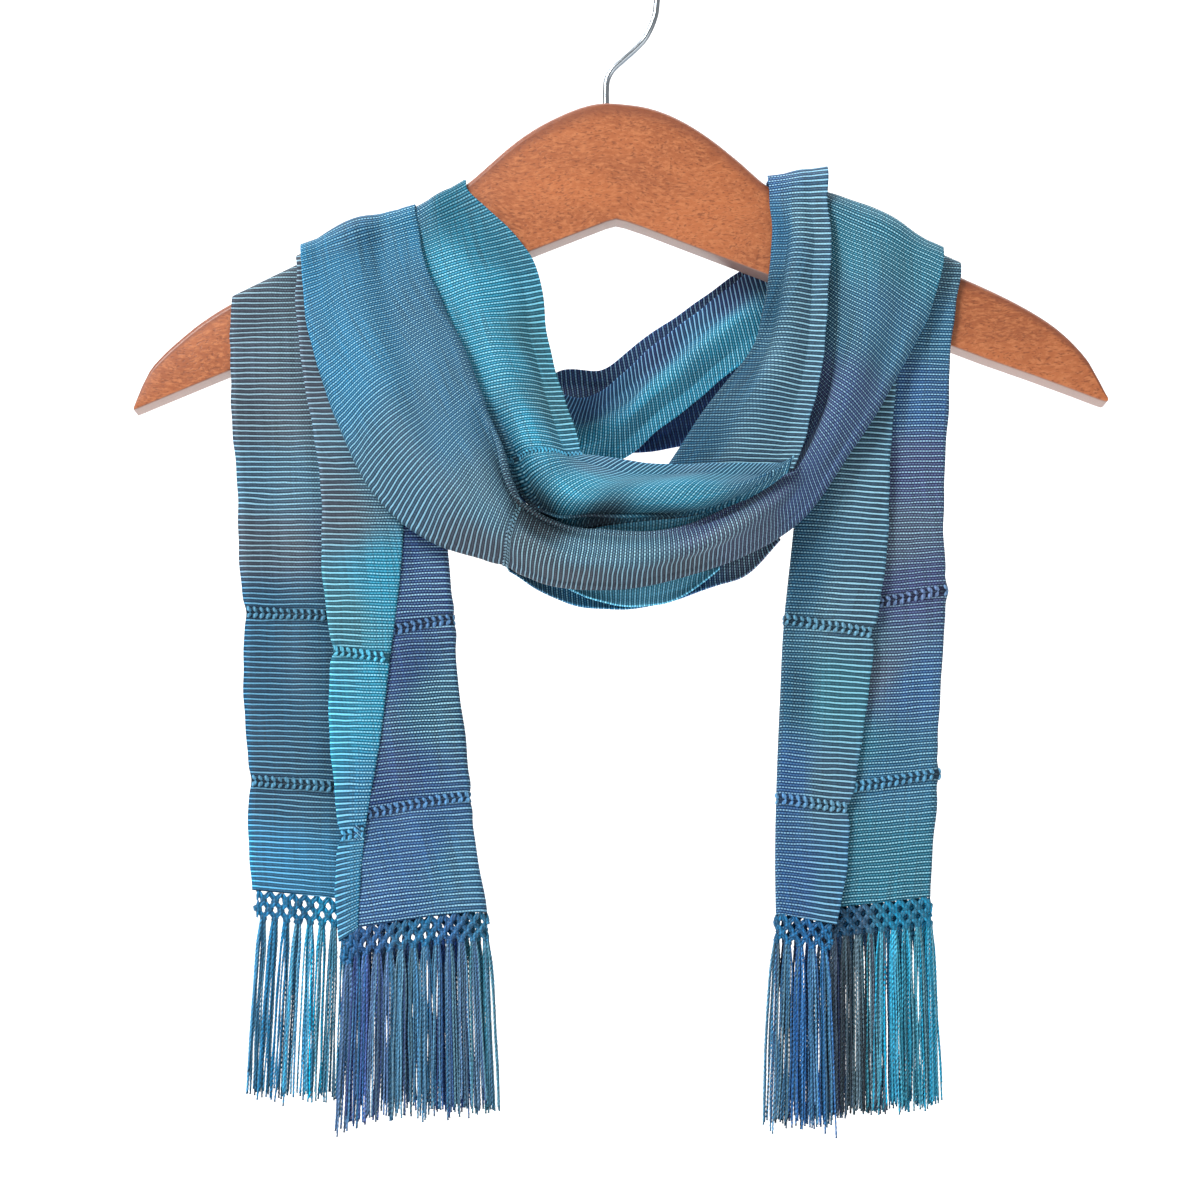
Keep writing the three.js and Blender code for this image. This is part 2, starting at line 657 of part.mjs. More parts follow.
// Knotted band below a tail's hem, with the strands that hang from it.
function fringe(hem, count, spread, lengthAt) {
  const levels = [SEAM + 0.1, HEM_BAND / 2, HEM_BAND];
  const band = levels.map((fall) => hem.map((p) => new THREE.Vector3(p.x, p.y, p.z - fall)));
  const solids = [toSolid(wall(band, BAND_WALL))];
  const foot = band[band.length - 1];
  for (let k = 0; k < count; k += 1) {
    const root = along(foot, (k + 0.5) / count);
    const end = root.clone();
    root.z += 2;
    end.z = root.z - lengthAt(k / count) - 3 * wobble(k);
    end.x = root.x + spread(root, k / count) + 0.25 * wobble(k + 50);
    end.y += 0.5 * wobble(k + 90);
    solids.push(strand(root, end, 0.25 * wobble(k + 20)));
  }
  return fromSolid(wasm.Manifold.union(solids));
}

const scarf = new THREE.Group();
scarf.name = 'wrap_scarf_on_hanger';

function add(name, geometry, colour, roughness, metalness) {
  const material = new THREE.MeshStandardMaterial({ color: colour, roughness, metalness });
  geometry.computeVertexNormals();
  const mesh = new THREE.Mesh(geometry, material);
  mesh.name = name;
  scarf.add(mesh);
}

function cloth(name, geometry, colour) {
  add(name, geometry, colour, 0.75, 0);
}

const outerFront = OUTER[1];
const outerEnd = OUTER[OUTER.length - 2];
const outerRows = [
  ...overArm(OUTER[0], outerFront),
  ...OUTER.slice(1, -1),
  ...overArm(OUTER[OUTER.length - 1], outerEnd).reverse(),
];
const innerRows = [...overArm(INNER[0], INNER[1]), ...INNER.slice(1)];
const riseRows = [...overArm(RISE[0], RISE[1]), ...RISE.slice(1)];
const leftRows = [...overArm(TAIL_LEFT[0], TAIL_LEFT[1]), ...TAIL_LEFT.slice(1)];
const rightRows = [...overArm(TAIL_RIGHT[0], TAIL_RIGHT[1]), ...TAIL_RIGHT.slice(1)];

const leftGrid = tailGrid(refine(leftRows, 1), -1, leftPath);
const rightGrid = tailGrid(refine(rightRows, 1), -1, rightPath);

add('hanger_body', hangerBody(), COLOURS.wood, 0.45, 0);
add('hanger_hook', hangerHook(), COLOURS.metal, 0.25, 1);
cloth('cowl_outer', wall(swathGrid(refine(outerRows, 1), 1, 10), WALL), COLOURS.steelBlue);
cloth('cowl_inner', wall(swathGrid(refine(innerRows, 1), -1, 9), WALL), COLOURS.turquoise);
cloth('cowl_rise', wall(swathGrid(refine(riseRows, 1), -1, 8), WALL), COLOURS.slate);
cloth('cowl_pleat', wall(swathGrid(refine(PLEAT, 2), -1, 6), WALL), COLOURS.turquoise);
cloth('cowl_under', wall(swathGrid(refine(UNDER, 1), -1, 5), WALL), COLOURS.navy);
cloth('back_swath_low', wall(swathGrid(refine(BACK_LOW, 1), -1, 7), WALL), COLOURS.teal);
cloth('back_swath_high', wall(swathGrid(refine(BACK_HIGH, 1), -1, 7), WALL), COLOURS.violet);
cloth('tail_left', wall(leftGrid, WALL), COLOURS.teal);
cloth('tail_right', wall(rightGrid, WALL), COLOURS.slate);

const leftHem = leftGrid[leftGrid.length - 1];
const rightHem = rightGrid[rightGrid.length - 1];
const leftSpread = (root, share) => (share < 0.62 ? 13.7 * share - 4.5 : (root.x + 92) * 0.1);
const rightSpread = (root, share) => (share < 0.82 ? (root.x - 122) * 0.03 : (root.x - 88) * 0.25);
cloth('fringe_left', fringe(leftHem, 92, leftSpread, (s) => 76 - 4 * s), COLOURS.teal);
cloth('fringe_right', fringe(rightHem, 84, rightSpread, () => 78), COLOURS.navy);

export default scarf;
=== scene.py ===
"""Wrap scarf, hand woven with a ribbed face, looped on a curved wooden hanger.

Both ends hang in front of the hanger's arms and finish in knotted fringe. Sizes are in
millimetres and become metres where a mesh is made. X runs to the viewer's right along the
hanger, Y to the back and Z up, from the inside top of the hook's bend.
"""
import logging
import math
from dataclasses import dataclass, field
from enum import Enum
from typing import Any, Callable, Sequence

import bmesh
import bpy
import numpy as np
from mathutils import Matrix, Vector


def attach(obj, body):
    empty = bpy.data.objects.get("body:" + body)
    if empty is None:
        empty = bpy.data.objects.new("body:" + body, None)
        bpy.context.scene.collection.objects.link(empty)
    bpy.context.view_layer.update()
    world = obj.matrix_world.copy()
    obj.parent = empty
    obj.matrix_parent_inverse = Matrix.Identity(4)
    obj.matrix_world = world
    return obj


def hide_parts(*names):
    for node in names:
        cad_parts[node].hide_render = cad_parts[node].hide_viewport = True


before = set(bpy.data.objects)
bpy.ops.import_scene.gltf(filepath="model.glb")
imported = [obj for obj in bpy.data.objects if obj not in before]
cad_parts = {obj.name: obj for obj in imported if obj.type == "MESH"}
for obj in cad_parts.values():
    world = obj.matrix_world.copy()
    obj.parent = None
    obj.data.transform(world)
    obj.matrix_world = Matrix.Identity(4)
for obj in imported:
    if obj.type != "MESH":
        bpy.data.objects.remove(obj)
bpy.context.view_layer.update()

LOG = logging.getLogger("wrap_scarf")
MM = 0.001
SEED = 7

Row = tuple[float, ...]
Section = list[tuple[float, float, float, float]]


class Dye(Enum):
    """Yarn colours, as sRGB hex. Some of them also serve as painted shade and painted light on the
    cloth.
    """

    STEEL = "#266f9e"
    SKY = "#1d84b8"
    TURQUOISE = "#06a2cc"
    # Paler than the lower pleat's yarn: painted light on a pleat that lies in the outer swath's
    # shadow.
    LAGOON_LIT = "#64ccf6"
    TEAL = "#0a7b9c"
    DEEP = "#08567d"
    SLATE = "#42708f"
    MAUVE = "#5a6384"
    VIOLET = "#464988"
    DENIM = "#255fa4"
    NAVY = "#193f86"
    SEAGREY = "#34889f"
    # A dark yarn in the right fringe; in the cloth's patches it is painted shade in hollows and
    # under folds.
    INK_AND_SHADE = "#0f1a2b"
    IRIS = "#3f5694"
    ASH = "#515d6f"
    FROST = "#a6e6f7"
    WORN = "#a6dff0"


class Held(Enum):
    """How a stretch of cloth is held up."""

    DRAPED = "draped"
    HUNG = "hung"
    FOLDED = "folded"


def linear(colour: str) -> tuple[float, float, float, float]:
    """Turns a colour from sRGB hex to linear light.

    Args:
        colour: six hex digits after a hash.

    Returns:
        Red, green, blue and an alpha of 1.
    """
    parts = [int(colour[i:i + 2], 16) / 255 for i in (1, 3, 5)]
    r, g, b = [c / 12.92 if c <= 0.04045 else ((c + 0.055) / 1.055) ** 2.4 for c in parts]
    return r, g, b, 1.0


def add(tree: bpy.types.NodeTree, kind: str, **given: Any) -> bpy.types.Node:
    """Adds a node, with its settings, values and links.

    Args:
        tree: the node tree.
        kind: the node's type.
        given: settings of the node itself, and values, nodes or sockets for its inputs. An
            input goes by its name, with _ for a space, or as i0, i1 by its place.

    Returns:
        The node.
    """
    node = tree.nodes.new(kind)
    for key in [k for k in given if hasattr(node, k)]:
        setattr(node, key, given.pop(key))
    for key, value in given.items():
        by_place = key[0] == "i" and key[1:].isdigit()
        socket = node.inputs[int(key[1:]) if by_place else key.replace("_", " ")]
        if isinstance(value, bpy.types.Node):
            value = next(s for s in value.outputs if s.enabled)
        if isinstance(value, bpy.types.NodeSocket):
            tree.links.new(value, socket)
        else:
            socket.default_value = value
    return node


# The tables below have one row for each place along a piece, in mm and degrees. A swath's row
# gives its inner edge, its outer edge, how far the cloth between them bows out, and how far
# each edge curls to the back.
# Columns: inX inY inZ outX outY outZ bow inCurl outCurl
OUTER_ROWS = (
    (-89.1, 0, -125.3, -140.3, 0, -144.4, 3, 0, 0),
    (-87.1, -10.5, -138.9, -139.6, -16.5, -156.8, 2, 0, 0),
    (-84.1, -14, -153.5, -137.5, -18, -177.2, 4, 0, 20),
    (-77, -19, -172, -132.2, -20, -200.4, 6, 60, 50),
    (-69.6, -24, -189.8, -122.8, -22, -227, 8, 120, 90),
    (-60.8, -30, -213.1, -108.2, -24, -257.9, 9, 150, 120),
    (-49.9, -35, -236.9, -80.4, -27, -282, 9, 160, 150),
    (-39.6, -38, -264.1, -47.6, -31, -294.1, 7, 165, 160),
    (-21.6, -38, -275.1, -28.2, -33, -302.3, 9, 165, 160),
    (2.9, -37, -279, -0.1, -34, -304.7, 10, 165, 160),
    (34.1, -35, -275.6, 34.1, -33, -297.9, 10, 165, 160),
    (58.6, -28.5, -261.7, 60.6, -31, -287.9, 9, 110, 160),
    (78.3, -19, -240.9, 83.8, -27, -271.3, 5, 60, 150),
    (89.2, -18.3, -216.4, 105.5, -25, -240.6, 5, 20, 130),
    (93, -18, -194.5, 120, -23.5, -218.7, 5, 0, 110),
    (94.1, -17, -171.6, 131.6, -21, -198.3, 4, 0, 80),
    (93.5, -15.5, -148.4, 141.8, -19, -177.5, 3, 0, 40),
    (91.4, -15, -132.2, 147.6, -17, -159.7, 2, 0, 0),
    (91.1, 0, -116.5, 149.5, 0, -146.2, 2, 0, 0),
)
INNER_ROWS = (
    (-86.4, 0, -124.9, -66, 0, -113.2, 0.5, 0, 0),
    (-85.8, -9.6, -138.7, -56.5, -9.6, -127.2, 0.5, 0, 0),
    (-82.5, -10.5, -152.7, -42, -10, -142, 2, 0, 0),
    (-76.9, -12.5, -169.7, -33.3, -10.5, -158.3, 3, 0, 0),
    (-71.3, -15, -188, -29.2, -11, -184, 5, 0, 0),
    (-63.4, -20, -208.5, -24.2, -13, -206.3, 6, 0, 0),
    (-52.5, -25, -229.8, -17.9, -17, -226.1, 6, 0, 0),
    (-44.8, -27.5, -244.1, -11.6, -22, -241.8, 6, 30, 0),
    (-35.4, -30, -260.6, -0.1, -26, -244.8, 7, 80, 0),
    (-22.1, -35, -270.3, 13.6, -30, -247.6, 7, 130, 0),
    (-2.8, -41, -272.9, 31.7, -32, -248.9, 7, 160, 0),
    (18.2, -42, -273.5, 48.4, -33, -248.1, 7, 165, 0),
    (40.6, -39.5, -271.8, 63.8, -33, -248.1, 6, 130, 0),
    (60.5, -36.5, -262, 74.4, -32.5, -248.1, 4, 60, 0),
    (77.8, -34, -251.9, 79.8, -31.8, -245.3, 1, 10, 0),
)
RISE_ROWS = (
    (70.7, 0, -111.8, 97.6, 0, -109, 0.5, 0, 0),
    (71, -10.5, -125.6, 97.1, -18.5, -127.5, 1, 0, 0),
    (71.7, -12, -141.1, 98.2, -20, -144.8, 2, 20, 0),
    (69.7, -14, -159.5, 97, -22, -164, 3, 60, 0),
    (66.8, -16, -175.9, 95.8, -24, -184.4, 4, 120, 0),
    (62.7, -16.5, -192, 92.8, -26.5, -205.3, 5, 140, 0),
    (49.1, -17, -210.2, 88.1, -28.5, -225, 6, 120, 0),
    (34.7, -17.5, -229.4, 84.9, -28.5, -238.9, 5, 90, 0),
    (22.7, -18, -248, 80, -28, -249.6, 3, 60, 0),
)
BACK_LOW_ROWS = (
    (-65, 12, -128.5, -141.6, 16.5, -159.5, 0, 0, 0),
    (-57.8, 17, -146.6, -122.4, 20, -184.7, -2, 0, 0),
    (-43.1, 22, -175, -92.6, 25, -218.7, -3, 0, 0),
    (-27, 26, -204.6, -55.9, 28, -241.5, -4, 0, 0),
    (-11.8, 28, -207.5, -23.8, 30, -245.8, -4, 0, 0),
    (3.8, 28, -197.7, 6.6, 30, -235.1, -4, 0, 0), (14.4, 27, -188, 19.9, 29, -224.1, -4, 0, 0),
    (28.2, 25, -176.7, 35.5, 27, -212.8, -4, 0, 0),
    (46.1, 21.5, -163.4, 51.5, 23, -199.1, -3, 0, 0),
    (63.5, 17, -151.3, 73.4, 18, -185.1, -2, 0, 0),
    (79.4, 13, -140.5, 104.3, 13.5, -176.3, -1, 0, 0),
    (91.6, 10.7, -136.3, 157.6, 10.7, -166.4, 0, 0, 0),
)
BACK_HIGH_ROWS = (
    (-113.3, 10.7, -150.3, -172.3, 10.7, -181, 0, 0, 0),
    (-108.7, 13, -179.1, -159.5, 13.5, -209.2, -1, 0, 0),
    (-95.9, 17, -213.2, -134, 18, -242.2, -2, 0, 0),
    (-76.4, 25, -239.2, -101.5, 26, -268.7, -2, 0, 0),
    (-56, 33, -247.2, -66.1, 34, -271.7, -2, 0, 0),
    (-37.8, 37, -221.3, -41.4, 38, -257.6, -3, 0, 0),
    (-24, 38, -192.9, -20.2, 39, -230.3, -4, 0, 0), (-4.5, 38, -192.9, 0.2, 39, -232.2, -4, 0, 0),
    (14.6, 37, -178.5, 25.1, 38.5, -230.4, -4, 0, 0),
    (38.6, 34, -162.1, 49.1, 36.5, -223.3, -4, 0, 0),
    (64.9, 28, -144.1, 79.5, 31, -205.5, -3, 0, 0),
    (76.6, 20.5, -129.8, 117.9, 22.6, -165, -1, 0, 0),
    (71.6, 12.5, -126.5, 151.1, 17.5, -161.4, 0, 0, 0),
)
PLEAT_ROWS = (
    (-32.8, -25.5, -266.6, -22.6, -23, -301.5, 1, 0, 60),
    (-9.8, -26.5, -265, -6.3, -24, -307.9, 2, 0, 90),
    (14.5, -27, -263.7, 13.1, -24, -310.6, 2, 0, 90),
    (38.8, -26.5, -260.1, 30.8, -23.5, -305.6, 2, 0, 90),
    (51.3, -24.8, -256.2, 46.8, -23, -293.5, 1, 0, 60),
)
UNDER_ROWS = (
    (-56.9, -19.6, -271.6, -45.7, -19.6, -295.3, 1, 0, 60),
    (-36.5, -19.6, -280.5, -33.3, -19.6, -302.9, 1, 0, 60),
    (-18.7, -19.6, -284.1, -17.8, -19.6, -310, 1, 0, 60),
    (-2.7, -19.6, -285, -2.7, -19.6, -312.3, 1, 0, 60),
    (13.2, -19.6, -284.1, 14.1, -19.6, -310.5, 1, 0, 60),
    (31.9, -19.6, -282.8, 32.7, -19.6, -305.1, 1, 0, 60),
    (45.2, -19.6, -276.1, 46, -19.6, -300.7, 1, 0, 60),
    (57.7, -19.2, -269.3, 58.4, -19.2, -296.6, 1, 0, 60),
    (67.5, -18.8, -260.2, 74.1, -18.8, -280.4, 0.5, 0, 60),
)
# A tail's row gives its two edges; as shares of its width, the front layer's turned edge (left
# tail) or the hidden layer's edge (right tail), and the layer's free edge; then how far apart the
# first two layers lie, how far the back is from the front, and how much lower the front hangs.
# Columns: inX inY inZ outX outY outZ pleat|hidden free near far drop
TAIL_LEFT_ROWS = (
    (-171.4, 0, -167.5, -112.7, 0, -137.9, 0.91, 0.51, 1.8, 3.7, 0),
    (-171.6, -9.2, -178.2, -109.2, -9.2, -147.8, 0.91, 0.47, 1.8, 3.7, 2),
    (-171.9, -9.3, -190.5, -96.4, -9.3, -174.5, 0.89, 0.42, 2.4, 4.5, 12),
    (-171.1, -9, -215.6, -86.3, -9, -211, 0.88, 0.44, 3.2, 5.2, 18),
    (-168.5, -8.8, -247.4, -78, -8.8, -249.2, 0.83, 0.43, 3.8, 5.8, 20),
    (-166.8, -8.6, -279, -73.8, -8.6, -282.2, 0.77, 0.41, 4, 6, 20),
    (-164.6, -8.4, -311.4, -70.9, -8.4, -315.4, 0.7, 0.42, 4, 5.9, 20),
    (-163.7, -8.2, -346.3, -67.2, -8.2, -351.6, 0.63, 0.4, 4, 5.5, 20),
    (-161.4, -8, -386.3, -63, -8, -394.3, 0.53, 0.41, 4, 5.1, 20),
    (-160.7, -8, -412.9, -59.3, -8, -420, 0.49, 0.38, 4, 4.8, 20),
    (-159.5, -8, -434.9, -56.1, -8, -445.1, 0.46, 0.38, 4, 4.6, 19),
)
TAIL_RIGHT_ROWS = (
    (91.1, 0, -124.4, 157.1, 0, -153.6, 0.26, 0.55, 1.8, 3.6, 0),
    (90.4, -9, -136.7, 156, -9, -164.4, 0.26, 0.56, 1.8, 3.6, 1),
    (89.8, -9, -156.1, 154.6, -9, -173.5, 0.26, 0.59, 2, 4, 4),
    (88.1, -9, -201.9, 151, -9, -208.8, 0.25, 0.61, 2.6, 5.2, 9),
    (84.2, -9, -242.9, 148.7, -9, -243.8, 0.26, 0.61, 3, 6, 12),
    (80.4, -8.8, -281.3, 148.4, -8.8, -274.5, 0.26, 0.61, 3.2, 6.4, 13),
    (76.6, -8.6, -315.9, 148.1, -8.6, -302, 0.28, 0.56, 3.2, 6.4, 13.5),
    (74.6, -8.4, -350.8, 146.3, -8.4, -340.9, 0.26, 0.53, 3.2, 6.4, 11),
    (72.6, -8.2, -395.2, 143.6, -8.2, -383.7, 0.26, 0.46, 3.2, 6.4, 9.5),
    (72, -8, -421.7, 141.9, -8, -411.1, 0.26, 0.45, 3.2, 6.4, 8.5),
    (72.2, -8, -445.9, 140.3, -8, -438, 0.25, 0.38, 3.2, 6.4, 7.5),
)
# Columns: x top bottom
BOARD_ROWS = (
    (-214.9, -218.6, -219.8), (-213.5, -214.1, -219.4), (-211.3, -208.1, -218.5),
    (-208.3, -201.9, -217.2), (-202.6, -194.9, -214.8), (-194.6, -187.3, -211.4),
    (-187, -180.9, -208.2), (-178.5, -174.9, -204.6), (-170.5, -170.1, -201.3),
    (-140.4, -154.6, -189.1), (-110.3, -139.3, -176.9), (-91.8, -130, -169.4),
    (-77.8, -122.8, -163.8), (-64.3, -114.4, -158.3), (-55.3, -106.4, -154.7),
    (-47.1, -99, -151.4), (-39.4, -93, -148.2), (-32.6, -88.6, -145.5), (-25.8, -85, -142.8),
    (-16.8, -81, -139.2), (-7.2, -78.3, -135.4), (-2.6, -77.9, -133.6), (1.8, -78.1, -132.4),
    (6.2, -78.5, -133.4), (14.6, -79.7, -136.3), (26.4, -83.6, -140.9), (41.8, -92.5, -146.9),
    (57.2, -104.8, -152.9), (69.5, -115.8, -157.7), (85.1, -125, -163.9), (110.8, -136.9, -174),
    (130.2, -146.1, -181.7), (153.1, -156.7, -190.7), (167.9, -163.4, -196.4),
    (179.1, -168.9, -200.4), (190.3, -175.2, -204.4), (201, -182.7, -208.4),
    (209.4, -190.8, -211.6), (215.1, -198.1, -213.8), (219.5, -206.4, -215.5),
    (221.9, -211.9, -216.2), (223, -214.2, -215.6),
)


def steady(rows: Sequence[Row], knots: np.ndarray, at: np.ndarray) -> np.ndarray:
    """Smooth values between table rows that are unevenly spaced.

    Args:
        rows: the table.
        knots: place of each row along the piece.
        at: places where values are wanted.

    Returns:
        One row of values for each place.
    """
    values = np.asarray(rows, float)
    gap = np.diff(knots)[:, None]
    slope = np.diff(values, axis=0) / gap
    turn = np.empty_like(values)
    turn[1:-1] = (slope[:-1] * gap[1:] + slope[1:] * gap[:-1]) / (gap[:-1] + gap[1:])
    turn[0], turn[-1] = slope[0], slope[-1]
    i = np.clip(np.searchsorted(knots, at, "right") - 1, 0, len(knots) - 2)
    g = gap[i]
    s = (at - knots[i])[:, None] / g
    return ((2 * s**3 - 3 * s**2 + 1) * values[i] + (s**3 - 2 * s**2 + s) * g * turn[i]
            + (3 * s**2 - 2 * s**3) * values[i + 1] + (s**3 - s**2) * g * turn[i + 1])


def unit(v: np.ndarray) -> np.ndarray:
    """Vectors of length one."""
    return v / np.maximum(np.linalg.norm(v, axis=-1, keepdims=True), 1e-9)


def bell(x: np.ndarray, centre: float, half: float) -> np.ndarray:
    """A soft bump of height one."""
    return np.exp(-(((x - centre) / half) ** 2))


def step_up(x: np.ndarray, low: float, high: float) -> np.ndarray:
    """Rises smoothly from 0 at low to 1 at high."""
    t = np.clip((x - low) / (high - low), 0, 1)
    return t * t * (3 - 2 * t)


OVER = 20.0  # mm that the cloth runs down behind the hanger's arm
ARM_TOP = ((1, 4.5), (0.86, 1.2), (0.5, 0.1), (-0.5, 0.1), (-0.86, 1.2), (-1, 4.5))
HEM_HALF = 2.9  # mm, half the height of a usual band of hemstitch
FOLDED_IN = (4.2, 8.6)  # layer numbers between which a tail's cloth lies inside its fold


def over_arm(ridge: Row, front: Row, reach: float = OVER, slack: float = 0.0) -> list[Row]:
    """Rows that carry a piece over the hanger's arm, from behind to its top.

    Args:
        ridge: the table's row on the arm's ridge.
        front: the row where the piece meets the board's front.
        reach: how far it runs down behind the arm, in mm.
        slack: how much further from the board it lies there than in front, in mm.

    Returns:
        Rows in the table's columns.
    """
    made = []
    for side, fall in ((1, reach), *ARM_TOP):
        row = list(ridge)
        loose = slack if fall == reach else 0.0
        row[1], row[4] = loose - side * front[1], loose - side * front[4]
        row[2] -= fall
        row[5] -= fall
        made.append(tuple(row))
    return made


def tucked(rows: list[Row], reach: Sequence[float]) -> list[Row]:
    """Slides the inner edge of a piece's first rows on, under its neighbour.

    Args:
        rows: rows in the table's columns.
        reach: how far for each of the first rows, in mm.

    Returns:
        The rows.
    """
    made = [list(row) for row in rows]
    for row, far in zip(made, reach):
        way = unit(np.subtract(row[0:3], row[3:6]))
        row[0], row[2] = row[0] + far * way[0], row[2] + far * way[2]
    return [tuple(row) for row in made]


@dataclass(frozen=True)
class Crease:
    """A soft fold that runs along a piece, raised or sunk.

    Shares run from 0 to 1: `here` and `there` across the cloth at the fold's two ends, and
    `start` and `end` along it. half and depth are millimetres.
    """

    here: float
    there: float
    half: float
    depth: float
    start: float = 0.0
    end: float = 1.0


@dataclass(frozen=True)
class Patch:
    """A patch of one dye: place across and along the piece, and how pale its picks are. Some dark
    patches with few pale picks are painted shade in hollows and beside folds, and the palest dye is
    painted light.

    Across runs from 0 to 1 in a single layer. A layer turned over it counts on from 3, and
    the next ones from 6 and 9, so that each has its own dyes. Along is a share of the length.
    """

    across: float
    along: float
    dye: Dye
    picks: float = 0.8


@dataclass
class Sheet:
    """Points of a cloth piece, row by row, with its measure across and along."""

    points: np.ndarray  # rows, places, xyz
    out: np.ndarray  # the side that faces away from the wood
    layer: np.ndarray  # which layer each point is in and how far across it, as one number
    across: np.ndarray  # mm over the cloth, from its first edge
    along: np.ndarray  # mm along the piece, one for each row

    def normals(self) -> np.ndarray:
        """Surface direction at each point, on the outer side."""
        n = unit(np.cross(np.gradient(self.points, axis=0), np.gradient(self.points, axis=1)))
        side = np.sign(np.sum(n.mean(axis=1) * self.out, axis=1).sum())
        return n * (side or 1.0)

    def spot(self, row_at: float, across_at: np.ndarray) -> tuple[np.ndarray, ...]:
        """Points on the cloth, at one place along it.

        Args:
            row_at: mm along the piece.
            across_at: mm across the cloth.

        Returns:
            Points, outer normals and directions across.
        """
        i = int(np.clip(np.searchsorted(self.along, row_at), 1, len(self.along) - 1))
        t = (row_at - self.along[i - 1]) / (self.along[i] - self.along[i - 1])
        line = self.points[i - 1] * (1 - t) + self.points[i] * t
        face = unit(self.normals()[i - 1] * (1 - t) + self.normals()[i] * t)
        run = unit(np.gradient(line, axis=0))
        at = [np.stack([np.interp(across_at, self.across[i], a[:, k]) for k in range(3)], axis=1)
              for a in (line, face, run)]
        return at[0], unit(at[1]), unit(at[2])


def curl_reach(curl: float, lip: float) -> float:
    """How far a curled edge reaches past the place where it starts to curl."""
    angle = max(math.radians(curl), 0.01)
    radius = lip / angle
    return radius * math.sin(angle) if angle < math.pi / 2 else radius


